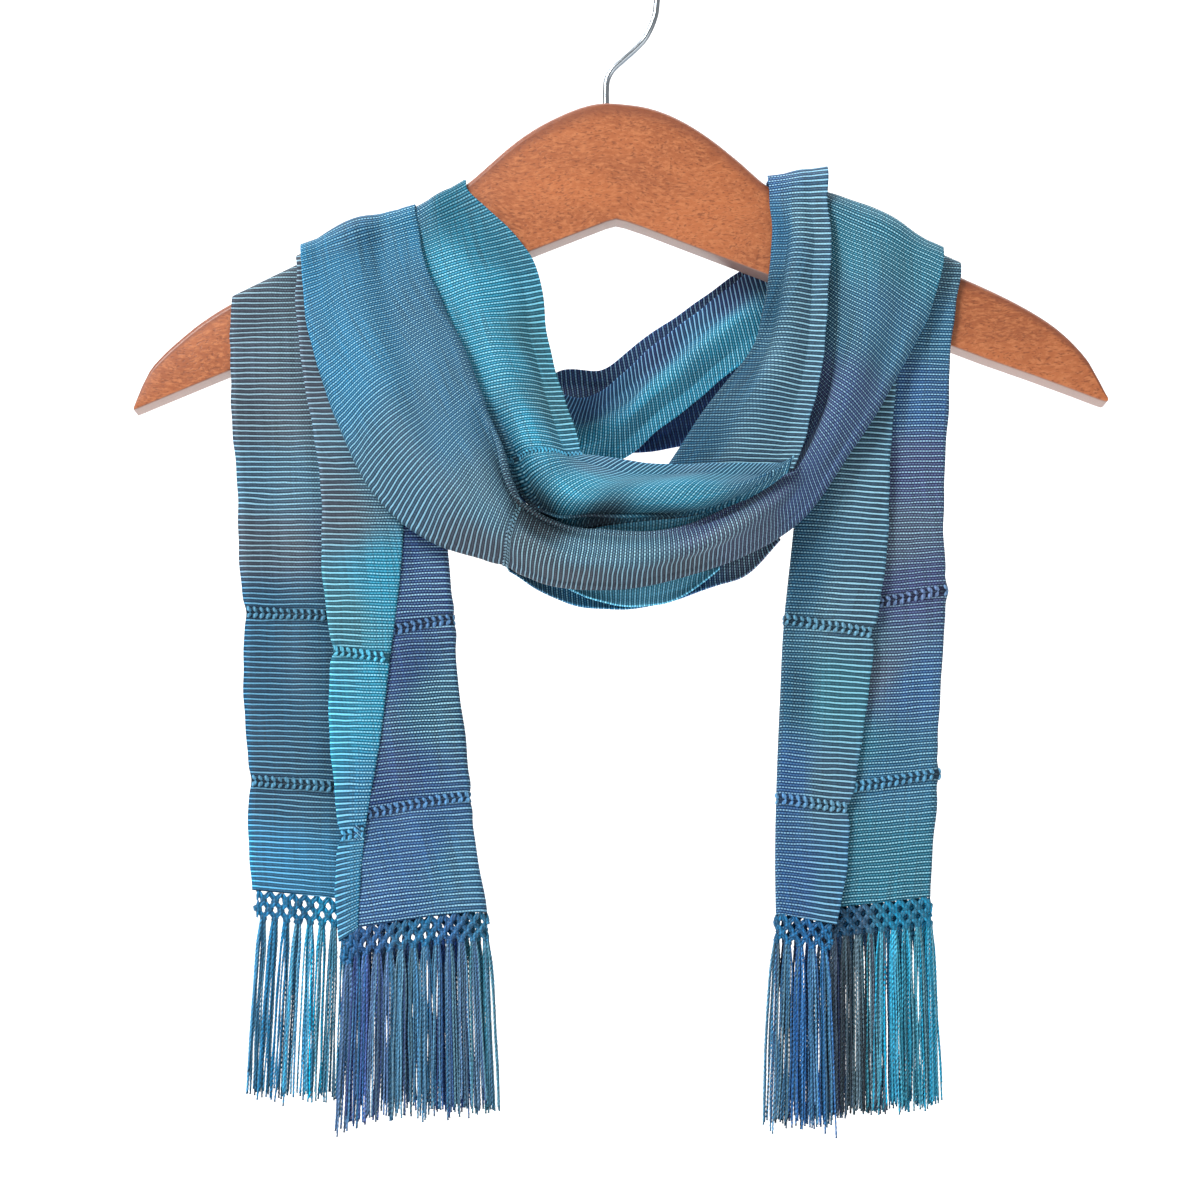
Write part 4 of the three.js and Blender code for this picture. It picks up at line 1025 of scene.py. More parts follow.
def run_nodes(mesh: bpy.types.Mesh, tree: bpy.types.NodeTree, name: str,
              **inputs: Any) -> bpy.types.Object:
    """Runs a node tree over a mesh and keeps the result as a plain mesh.

    Args:
        mesh: points or lines for the tree.
        tree: the tree.
        name: the new object's name.
        inputs: the tree's inputs by name, with _ for a space.

    Returns:
        The new object.
    """
    worker = bpy.data.objects.new(name + "_points", mesh)
    bpy.context.scene.collection.objects.link(worker)
    modifier = worker.modifiers.new("nodes", "NODES")
    modifier.node_group = tree
    sockets = {item.name: item.identifier for item in tree.interface.items_tree
               if item.item_type == "SOCKET" and item.in_out == "INPUT"}
    for key, value in inputs.items():
        modifier[sockets[key.replace("_", " ")]] = value
    return evaluated_copy(worker, name)


def new_tree(title: str, **sizes: tuple[str, Any]) -> bpy.types.NodeTree:
    """An empty geometry node tree with named inputs and its two ends.

    Args:
        title: the tree's name.
        sizes: kind of socket and usual value, by name with _ for a space.

    Returns:
        The tree.
    """
    tree = bpy.data.node_groups.new(title, "GeometryNodeTree")
    tree.interface.new_socket("Geometry", in_out="INPUT", socket_type="NodeSocketGeometry")
    for name, (kind, value) in sizes.items():
        socket = tree.interface.new_socket(name.replace("_", " "), in_out="INPUT", socket_type=kind)
        socket.default_value = value
    tree.interface.new_socket("Geometry", in_out="OUTPUT", socket_type="NodeSocketGeometry")
    return tree


@dataclass
class Stitches:
    """Plump stitches, knots and short cords, laid one on each point.

    Each place has a face direction, a run direction, a lean from it and three half sizes.
    """

    places: list[np.ndarray] = field(default_factory=list)

    def lay(self, points: np.ndarray, face: np.ndarray, run: np.ndarray, lean: Any,
            size: tuple[float, float, float], dye: np.ndarray) -> None:
        """Adds a row of them.

        Args:
            points: places, in mm.
            face: the cloth's outer side at each.
            run: the row's direction at each.
            lean: degrees that the long side leans from upright, one or one for each.
            size: half width, half length and half thickness, in mm.
            dye: colour at each.
        """
        n = len(points)
        self.places.append(np.hstack([
            points, face, run, np.broadcast_to(np.radians(lean), (n,))[:, None],
            np.broadcast_to(np.array(size), (n, 3)), dye]))

    def tree(self, finish: Finish) -> bpy.types.NodeTree:
        """The node tree that lays a rounded body on each point."""
        made = bpy.data.node_groups.get("lay_stitches")
        if made is not None:
            return made
        tree = new_tree("lay_stitches", Unevenness=("NodeSocketFloat", 0.14),
                        Seed=("NodeSocketInt", SEED))
        given = add(tree, "NodeGroupInput")
        kinds = {"face": "FLOAT_VECTOR", "run": "FLOAT_VECTOR", "size": "FLOAT_VECTOR",
                 "lean": "FLOAT"}
        read = {name: add(tree, "GeometryNodeInputNamedAttribute", data_type=kind,
                          Name=name).outputs["Attribute"] for name, kind in kinds.items()}
        ball = add(tree, "GeometryNodeMeshUVSphere", Segments=6, Rings=4, Radius=1.0)
        soft = add(tree, "GeometryNodeSetShadeSmooth", Geometry=ball.outputs["Mesh"])
        up = add(tree, "FunctionNodeAlignRotationToVector", axis="Z",
                 Vector=read["face"])
        turned = add(tree, "FunctionNodeAlignRotationToVector",
                     axis="X", pivot_axis="Z", Rotation=up.outputs["Rotation"],
                     Vector=read["run"])
        tilt = add(tree, "FunctionNodeAxisAngleToRotation", Axis=(0.0, 0.0, 1.0),
                   Angle=read["lean"])
        leant = add(tree, "FunctionNodeRotateRotation", rotation_space="LOCAL",
                    Rotation=turned.outputs["Rotation"], Rotate_By=tilt.outputs["Rotation"])
        less = add(tree, "ShaderNodeMath", operation="SUBTRACT", i0=1.0,
                   i1=given.outputs["Unevenness"])
        more = add(tree, "ShaderNodeMath", operation="ADD", i0=1.0,
                   i1=given.outputs["Unevenness"])
        pick = add(tree, "FunctionNodeRandomValue", data_type="FLOAT",
                   i2=less.outputs[0], i3=more.outputs[0], Seed=given.outputs["Seed"])
        scale = add(tree, "ShaderNodeVectorMath", operation="SCALE", i0=read["size"],
                    i3=pick.outputs[1])
        laid = add(tree, "GeometryNodeInstanceOnPoints", Points=given.outputs["Geometry"],
                   Instance=soft.outputs["Geometry"], Rotation=leant.outputs["Rotation"],
                   Scale=scale.outputs[0])
        real = add(tree, "GeometryNodeRealizeInstances", Geometry=laid.outputs["Instances"])
        dressed = add(tree, "GeometryNodeSetMaterial", Geometry=real.outputs["Geometry"],
                      Material=finish.material())
        add(tree, "NodeGroupOutput", Geometry=dressed.outputs["Geometry"])
        return tree

    def build(self, name: str, finish: Finish) -> bpy.types.Object:
        """Makes one mesh of all that was laid.

        Args:
            name: the piece's name.
            finish: the yarn's finish.

        Returns:
            The piece.
        """
        rows = np.vstack(self.places)
        mesh = bpy.data.meshes.new(name + "_places")
        mesh.from_pydata((rows[:, 0:3] * MM).tolist(), [], [])
        for key, part in (("face", rows[:, 3:6]), ("run", rows[:, 6:9]),
                          ("size", rows[:, 10:13] * MM)):
            layer = mesh.attributes.new(key, "FLOAT_VECTOR", "POINT")
            layer.data.foreach_set("vector", np.ascontiguousarray(part, np.float32).ravel())
        paint(mesh, "lean", rows[:, 9])
        paint(mesh, "Dye", rows[:, 13:17])
        return run_nodes(mesh, self.tree(finish), name, Unevenness=0.14, Seed=SEED)


@dataclass
class Hemstitch:
    """Bands of hemstitch across a stretch: two rows of plump picks that lean like a braid."""

    spacing: float = 3.1  # mm between stitches
    apart: float = 1.25  # mm from the band's middle to each of its two rows
    lean: float = 36.0  # degrees from upright
    stitch: tuple[float, float, float] = (0.95, 1.65, 0.7)  # mm, half sizes
    finish: Finish = field(default_factory=PliedYarn)

    def build(self, cloth: Cloth) -> bpy.types.Object:
        """Lays the stitches on both sides of the cloth.

        Args:
            cloth: the stretch, already shaped.

        Returns:
            The piece of stitches.
        """
        work = Stitches()
        dyes = cloth.colours()
        grow = cloth.hem_half / HEM_HALF
        for at in cloth.hem_at:
            row = int(np.searchsorted(cloth.sheet.along, at))
            width = cloth.sheet.across[row, -1]
            count = int(width / (self.spacing * grow))
            u = (np.arange(count) + 0.5) * width / count
            layer = np.interp(u, cloth.sheet.across[row], cloth.sheet.layer[row])
            folded_twice = cloth.sheet.layer[row, -1] >= 8
            u = u[(layer < FOLDED_IN[0]) | (layer > FOLDED_IN[1]) | (not folded_twice)]
            dye = np.stack([np.interp(u, cloth.sheet.across[row], dyes[row, :, k])
                            for k in range(4)], axis=1) * 0.95
            dye += 0.2 * np.array(linear(Dye.FROST.value))
            dye[:, 3] = 1.0
            for way in (-1, 1):
                points, face, run = cloth.sheet.spot(at + way * self.apart * grow, u)
                for side in (1.0, -1.0):
                    work.lay(points + face * side * 0.5, face * side, run * side,
                             -way * self.lean, tuple(s * grow for s in self.stitch), dye)
        return work.build(cloth.name + "_hemstitch", self.finish)


@dataclass
class Fringe:
    """A knotted band below a tail's hem, and the bundles of yarn that hang from it."""

    name: str
    stands_for: str
    tail: Cloth
    dyes: tuple[tuple[float, Dye], ...]  # place along the hem, and its yarn
    length: tuple[float, float]  # mm below the last knots, at the hem's two ends
    spread: Callable[[float, float], float]
    pitch: float = 5.2  # mm between knots
    drops: tuple[float, ...] = (0.0, 3.9, 7.8, 11.6)  # mm from the hem to each line of knots
    plies: int = 10  # yarns in a bundle
    yarn: float = 0.54  # mm, half thickness
    cord: tuple[float, float, float] = (0.78, 0.5, 0.8)  # mm, half sizes, with how far it tucks in
    knot: tuple[float, float, float] = (2.15, 1.75, 1.3)  # mm, half sizes
    wrap: tuple[float, float, float] = (0.68, 1.95, 0.6)  # mm, half sizes of a turn on a knot
    uneven: float = 1.8  # mm, how much the yarns' lengths differ
    short: tuple[float, float] = (0.04, 7)  # share of short yarns, and how many mm they lack
    finish: Finish = field(default_factory=PliedYarn)

    def dye_at(self, share: np.ndarray) -> np.ndarray:
        """Colour of the yarn at a share of the hem."""
        stops = np.array([s for s, _ in self.dyes])
        table = np.array([linear(d.value) for _, d in self.dyes])
        return np.stack([np.interp(share, stops, table[:, k]) for k in range(4)], axis=1)

    def cord_dye(self, share: np.ndarray) -> np.ndarray:
        """Colour of the knotted cords, nearer to the cloth's own."""
        return 0.45 * self.dye_at(share) + 0.55 * np.array(linear(Dye.DEEP.value)) * 1.25

    def hem(self, across: np.ndarray, fall: float) -> tuple[np.ndarray, ...]:
        """Places below the hem, with the face and run of the cloth above them."""
        sheet = self.tail.sheet
        points, face, run = sheet.spot(sheet.along[-1], across)
        points = points.copy()
        points[:, 2] -= fall
        return points, face, run

    def knots(self) -> tuple[Stitches, np.ndarray]:
        """Lays the diamonds of cords and knots.

        Returns:
            The laid pieces, and the places across of the last line of knots.
        """
        work = Stitches()
        width = self.tail.sheet.across[-1, -1]
        count = int(width / self.pitch)
        pitch = width / count
        even = (np.arange(count) + 0.5) * pitch
        line = even
        for i in range(len(self.drops) - 1):
            top, low = self.drops[i], self.drops[i + 1]
            other = np.arange(1, count) * pitch if i % 2 == 0 else even
            lean = math.degrees(math.atan2(pitch / 2, low - top))
            reach = math.hypot(pitch / 2, low - top) / 2
            sides = even[[0, -1]]
            points, face, run = self.hem(sides, (top + low) / 2)
            work.lay(points, face, run, 0, (0.72, (low - top) / 2 + 0.5, 0.75),
                     self.cord_dye(sides / width))
            for side in (-1, 1):
                middle = line + side * pitch / 4
                keep = (middle > pitch / 2) & (middle < width - pitch / 2)
                points, face, run = self.hem(middle[keep], (top + low) / 2)
                dye = self.cord_dye(middle[keep] / width)
                slant = side * lean * self.facing(face, run)
                # Each double cord is laid twice side by side, one dimmed to 0.7 as painted shade
                # and one raised to 1.15 as painted highlight.
                for shift, light in ((-0.6, 0.7), (0.6, 1.15)):
                    work.lay(points + run * shift + face * 0.3 * side, face, run, slant,
                             (self.cord[0], reach + self.cord[1], self.cord[2]), dye * light)
            points, face, run = self.hem(other, low)
            dye = self.cord_dye(other / width)
            # The knot's body is dimmed to 0.7 as painted shade under its wraps, and the second wrap
            # is raised to 1.35 as painted highlight.
            work.lay(points, face, run, 20 * (-1) ** np.arange(len(other)), self.knot, dye * 0.7)
            for turn, light in ((50, 1.0), (-50, 1.35)):
                work.lay(points + face * 0.9, face, run, turn, self.wrap, dye * light)
            line = other
        return work, line

    def facing(self, face: np.ndarray, run: np.ndarray) -> np.ndarray:
        """1 or -1 at each place, as the cord's lean is read from one side or the other."""
        up = np.cross(face, run)
        return np.sign(up[:, 2])

    def strands(self, roots: np.ndarray) -> bpy.types.Mesh:
        """Centre lines of the yarns, as a mesh of edges.

        Args:
            roots: places across the hem of the bundles.

        Returns:
            The mesh.
        """
        pick = np.random.default_rng(SEED + len(self.name))
        width = self.tail.sheet.across[-1, -1]
        points, face, _ = self.hem(roots, self.drops[-1])
        t = np.linspace(0, 1, 36)
        lines, colours = [], []
        for k, (root, out) in enumerate(zip(points, face)):
            share = roots[k] / width
            drop = self.length[0] + (self.length[1] - self.length[0]) * share
            lead = pick.normal(0, 0.6)
            shade = pick.normal(1.0, 0.12)
            for j in range(self.plies):
                place = j - (self.plies - 1) / 2
                fall = drop + pick.normal(0, self.uneven)
                fall -= self.short[1] if pick.random() < self.short[0] else 0
                side = self.spread(root[0], share) + place * 0.24 + lead + pick.normal(0, 0.35)
                deep = pick.normal(0, 0.9)
                sway = pick.normal(0, 0.4)
                curl = pick.normal(0, 0.12)
                x = (root[0] + place * (0.2 + 0.2 * np.minimum(t * 6, 1)) + side * t**0.9
                     + sway * np.sin(np.pi * t)
                     + curl * np.sin(4 * np.pi * t + pick.uniform(0, 6)))
                y = root[1] + out[1] * 0.2 + deep * t**0.7 + 0.35 * math.sin(2.4 * j)
                lines.append(np.stack([x, y, root[2] + 1.0 - (fall + 1.0) * t], axis=1))
                tone = float(np.clip(shade * pick.normal(1.0, 0.32), 0.4, 2.0))
                place_on_hem = np.clip(share + pick.normal(0, 0.03), 0, 1)
                dye = self.dye_at(np.array([place_on_hem]))[0] * tone
                faded = np.clip(pick.normal(0.1, 0.1), 0, 0.35)
                dye = dye * (1 - faded) + faded * np.array(linear(Dye.WORN.value))
                colours.append(np.tile(np.append(dye[:3], 1.0), (len(t), 1)))
        n = len(lines)
        first = np.arange(n)[:, None] * len(t) + np.arange(len(t) - 1)
        edges = np.stack([first.ravel(), first.ravel() + 1], axis=1)
        mesh = bpy.data.meshes.new(self.name + "_lines")
        mesh.from_pydata((np.vstack(lines) * MM).tolist(), edges.tolist(), [])
        paint(mesh, "Dye", np.vstack(colours))
        return mesh

    def tree(self) -> bpy.types.NodeTree:
        """The node tree that turns lines into twisted two-ply yarn."""
        made = bpy.data.node_groups.get("twist_yarn")
        if made is not None:
            return made
        tree = new_tree("twist_yarn", Half_thickness=("NodeSocketFloat", 0.0005),
                        Turns_per_metre=("NodeSocketFloat", 150.0))
        given = add(tree, "NodeGroupInput")
        curve = add(tree, "GeometryNodeMeshToCurve", Mesh=given.outputs["Geometry"])
        place = add(tree, "GeometryNodeSplineParameter")
        turns = add(tree, "ShaderNodeMath", operation="MULTIPLY",
                    i0=given.outputs["Turns per metre"], i1=2 * math.pi)
        angle = add(tree, "ShaderNodeMath", operation="MULTIPLY",
                    i0=place.outputs["Length"], i1=turns.outputs[0])
        tilted = add(tree, "GeometryNodeSetCurveTilt", Curve=curve.outputs["Curve"],
                     Tilt=angle.outputs[0])
        kept = add(tree, "GeometryNodeStoreNamedAttribute",
                   data_type="FLOAT", domain="POINT",
                   Geometry=tilted.outputs["Curve"], Name="Run", Value=place.outputs["Length"])
        ring = add(tree, "GeometryNodeCurvePrimitiveCircle", Resolution=5,
                   Radius=given.outputs["Half thickness"])
        oval = add(tree, "GeometryNodeTransform", Geometry=ring.outputs["Curve"],
                   Scale=(1.0, 0.86, 1.0))
        tube = add(tree, "GeometryNodeCurveToMesh", Curve=kept.outputs["Geometry"],
                   Profile_Curve=oval.outputs["Geometry"], Fill_Caps=True)
        soft = add(tree, "GeometryNodeSetShadeSmooth", Geometry=tube.outputs["Mesh"])
        real = add(tree, "GeometryNodeRealizeInstances", Geometry=soft.outputs["Geometry"])
        dressed = add(tree, "GeometryNodeSetMaterial", Geometry=real.outputs["Geometry"],
                      Material=self.finish.material())
        add(tree, "NodeGroupOutput", Geometry=dressed.outputs["Geometry"])
        return tree

    def build(self) -> list[bpy.types.Object]:
        """Makes the knotted band and the yarns.

        Returns:
            The two pieces.
        """
        work, roots = self.knots()
        band = work.build(self.name + "_knots", self.finish)
        yarns = run_nodes(self.strands(roots), self.tree(), self.name + "_yarns",
                          Half_thickness=self.yarn * MM, Turns_per_metre=190.0)
        for piece in (band, yarns):
            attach(piece, "root")
            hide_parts(self.stands_for)
        return [band, yarns]


def loft(name: str, rings: np.ndarray) -> bpy.types.Mesh:
    """A closed skin over rings of points, in mm, with flat ends.

    Args:
        name: the mesh's name.
        rings: points by ring and place round it.

    Returns:
        The mesh.
    """
    n, m = rings.shape[:2]
    k = np.arange(n * m).reshape(n, m)
    near = np.roll(k, -1, axis=1)
    faces = np.stack([k[:-1], near[:-1], near[1:], k[1:]], axis=-1).reshape(-1, 4).tolist()
    faces += [k[0][::-1].tolist(), k[-1].tolist()]
    mesh = bpy.data.meshes.new(name)
    mesh.from_pydata((rings.reshape(-1, 3) * MM).tolist(), [], faces)
    return mesh


def smooth(mesh: bpy.types.Mesh, angle: float = 40.0) -> None:
    """Shades a mesh smooth, but for edges sharper than an angle."""
    mesh.polygons.foreach_set("use_smooth", [True] * len(mesh.polygons))
    mesh.set_sharp_from_angle(angle=math.radians(angle))


def outwards(mesh: bpy.types.Mesh) -> None:
    """Turns a closed mesh's faces outwards."""
    work = bmesh.new()
    work.from_mesh(mesh)
    bmesh.ops.recalc_face_normals(work, faces=work.faces)
    work.to_mesh(mesh)
    work.free()


@dataclass
class Hanger:
    """The curved wooden board with its notched underside, and the wire hook in it."""

    board: float = 16.0
    rounding: float = 3.0
    rod: float = 3.0
    hook_radius: float = 21.6
    socket: float = 18.0
    socket_radius: float = 1.9
    shank: tuple[float, float] = (-2.6, -77.9)
    wood: Finish = field(default_factory=OiledMahogany)
    plating: Finish = field(default_factory=PlatedSteel)

    def ring(self, x: float, top: float, bottom: float) -> np.ndarray:
        """The board's section at one place, with its softened corners."""
        height = top - bottom
        upper = min(self.rounding, 0.35 * height)
        lower = min(self.rounding / 3, 0.2 * height)
        half = self.board / 2
        points = []
        corners = ((1, top - upper, upper, 0), (-1, top - upper, upper, 90),
                   (-1, bottom + lower, lower, 180), (1, bottom + lower, lower, 270))
        for side, level, radius, start in corners:
            for k in range(9):
                a = math.radians(start + k * 11.25)
                points.append((x, side * (half - radius) + radius * math.cos(a),
                               level + radius * math.sin(a)))
        return np.array(points)

    def build_board(self) -> bpy.types.Object:
        """Lofts the board and drills the hook's socket."""
        places = np.array([r[0] for r in BOARD_ROWS])
        at = np.unique(np.concatenate([places, np.arange(-206, 216, 2.5)]))
        tops = steady([(r[1],) for r in BOARD_ROWS], places, at)[:, 0]
        lows = np.interp(at, places, [r[2] for r in BOARD_ROWS])
        rings = np.array([self.ring(x, t, b) for x, t, b in zip(at, tops, lows)])
        mesh = loft("hanger_board", rings)
        # Rim marks the board's upper half, where the wood's finish paints shade along the top edge.
        paint(mesh, "Rim", np.tile(np.where(rings[0, :, 2] > rings[0, :, 2].mean(), 1.0, 0.0),
                                   len(rings)))
        outwards(mesh)
        board = bpy.data.objects.new("board_blank", mesh)
        x, z = self.shank
        turn = np.linspace(0, 2 * math.pi, 24, endpoint=False)
        wide = self.socket_radius
        hole = np.array([[(x + wide * math.cos(a), wide * math.sin(a), h) for a in turn]
                         for h in (z - self.socket, z + 10)])
        drill_mesh = loft("drill", hole)
        outwards(drill_mesh)
        drill = bpy.data.objects.new("drill", drill_mesh)
        for obj in (board, drill):
            bpy.context.scene.collection.objects.link(obj)
        cut = board.modifiers.new("socket", "BOOLEAN")
        cut.object, cut.operation, cut.solver = drill, "DIFFERENCE", "EXACT"
        piece = evaluated_copy(board, "hanger_board")
        bpy.data.objects.remove(drill)
        smooth(piece.data)
        piece.data.materials.clear()
        piece.data.materials.append(self.wood.material())
        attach(piece, "root")
        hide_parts("hanger_body")
        return piece

    def wire_path(self) -> np.ndarray:
        """Centre line of the hook, from the socket's foot to the loose tip."""
        x, z = self.shank
        points = [(x, z - self.socket + 0.3), (x, z - 9), (x, z), (-2.6, -70), (-2.2, -65.6),
                  (0, -61.2), (4.7, -56.6), (10.2, -51.6), (14.5, -47), (17.6, -41.5), (19.9, -35)]
        cx, cz = 0.2, self.rod / 2 - self.hook_radius
        for degrees in np.arange(-16, 191, 10.25):
            a = math.radians(degrees)
            points.append((cx + self.hook_radius * math.cos(a),
                           cz + self.hook_radius * math.sin(a)))
        line = np.array([(px, 0.0, pz) for px, pz in points])
        knots = np.concatenate([[0], np.cumsum(np.linalg.norm(np.diff(line, axis=0), axis=1))])
        return steady(line, knots, np.linspace(0, knots[-1], 150))

    def build_hook(self) -> bpy.types.Object:
        """Sweeps the wire, with a rounded tip."""
        line = self.wire_path()
        run = unit(np.gradient(line, axis=0))
        side = np.array([0.0, 1.0, 0.0])
        radius = np.full(len(line), self.rod / 2)
        tip = line[-1] + run[-1] * np.sin(np.radians([30, 60, 80]))[:, None] * self.rod / 2
        line = np.vstack([line, tip])
        run = np.vstack([run, np.repeat(run[-1:], 3, axis=0)])
        radius = np.append(radius, self.rod / 2 * np.cos(np.radians([30, 60, 80])))
        a = np.linspace(0, 2 * math.pi, 20, endpoint=False)
        other = np.cross(run, side)
        rings = line[:, None] + radius[:, None, None] * (
            np.cos(a)[None, :, None] * side + np.sin(a)[None, :, None] * other[:, None])
        mesh = loft("hanger_hook_wire", rings)
        outwards(mesh)
        smooth(mesh)
        mesh.materials.append(self.plating.material())
        piece = bpy.data.objects.new("hanger_hook_wire", mesh)
        bpy.context.scene.collection.objects.link(piece)
        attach(piece, "root")
        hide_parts("hanger_hook")
        return piece

    def build(self) -> list[bpy.types.Object]:
        """Both parts of the hanger."""
        return [self.build_board(), self.build_hook()]


@dataclass
class Studio:
    """White sweep, camera and soft lights."""

    floor: float = -0.66

    def sweep(self) -> bpy.types.Object:
        """The floor, curved up into a backdrop far behind."""
        radius = 0.5
        line = [(-3.2, self.floor), (1.6, self.floor)]
        line += [(1.6 + radius * math.sin(a), self.floor + radius * (1 - math.cos(a)))
                 for a in np.linspace(0.1, math.pi / 2, 14)]
        line.append((1.6 + radius, 2.6))
        points = [(x, y, z) for y, z in line for x in (-4.0, 4.0)]
        faces = [(2 * k, 2 * k + 1, 2 * k + 3, 2 * k + 2) for k in range(len(line) - 1)]
        mesh = bpy.data.meshes.new("studio_sweep")
        mesh.from_pydata(points, [], faces)
        smooth(mesh)
        mesh.materials.append(StudioPaint().material())
        piece = bpy.data.objects.new("studio_sweep", mesh)
        bpy.context.scene.collection.objects.link(piece)
        return piece

    def camera(self) -> None:
        """A long lens, a little below the middle and tipped up."""
        data = bpy.data.cameras.new("camera")
        data.lens, data.sensor_width = 101.05, 36.0
        data.clip_start, data.clip_end = 0.05, 20.0
        camera = bpy.data.objects.new("camera", data)
        camera.location = (-0.0054, -1.5, -0.4865)
        camera.rotation_euler = (math.radians(96.9), 0.0, 0.0)
        bpy.context.scene.collection.objects.link(camera)
        bpy.context.scene.camera = camera

    def light(self, name: str, place: tuple[float, float, float],
              aim: tuple[float, float, float], size: float, watts: float) -> None:
        """A square soft light, aimed at a place."""
        data = bpy.data.lights.new(name, "AREA")
        data.shape, data.size, data.energy = "SQUARE", size, watts
        lamp = bpy.data.objects.new(name, data)
        lamp.location = place
        way = Vector(aim) - Vector(place)
        lamp.rotation_euler = way.to_track_quat("-Z", "Y").to_euler()
        lamp.visible_camera = False
        bpy.context.scene.collection.objects.link(lamp)

    def build(self) -> None:
        """Everything that the object is shown in."""
        self.sweep()
        self.camera()
        world = bpy.data.worlds.new("studio")
        world.use_nodes = True
        world.node_tree.nodes["Background"].inputs["Color"].default_value = (1, 1, 1, 1)
        world.node_tree.nodes["Background"].inputs["Strength"].default_value = 0.38
        bpy.context.scene.world = world
        bpy.context.scene.view_settings.view_transform = "Standard"
        middle = (0.0, 0.0, -0.3)
        self.light("key", (-0.95, -1.15, 0.7), middle, 0.6, 34.0)
        self.light("fill", (1.1, -1.4, -0.75), middle, 1.2, 8.0)
        self.light("backdrop", (0.0, 0.7, 1.2), (0.0, 2.1, -0.1), 2.0, 44.0)


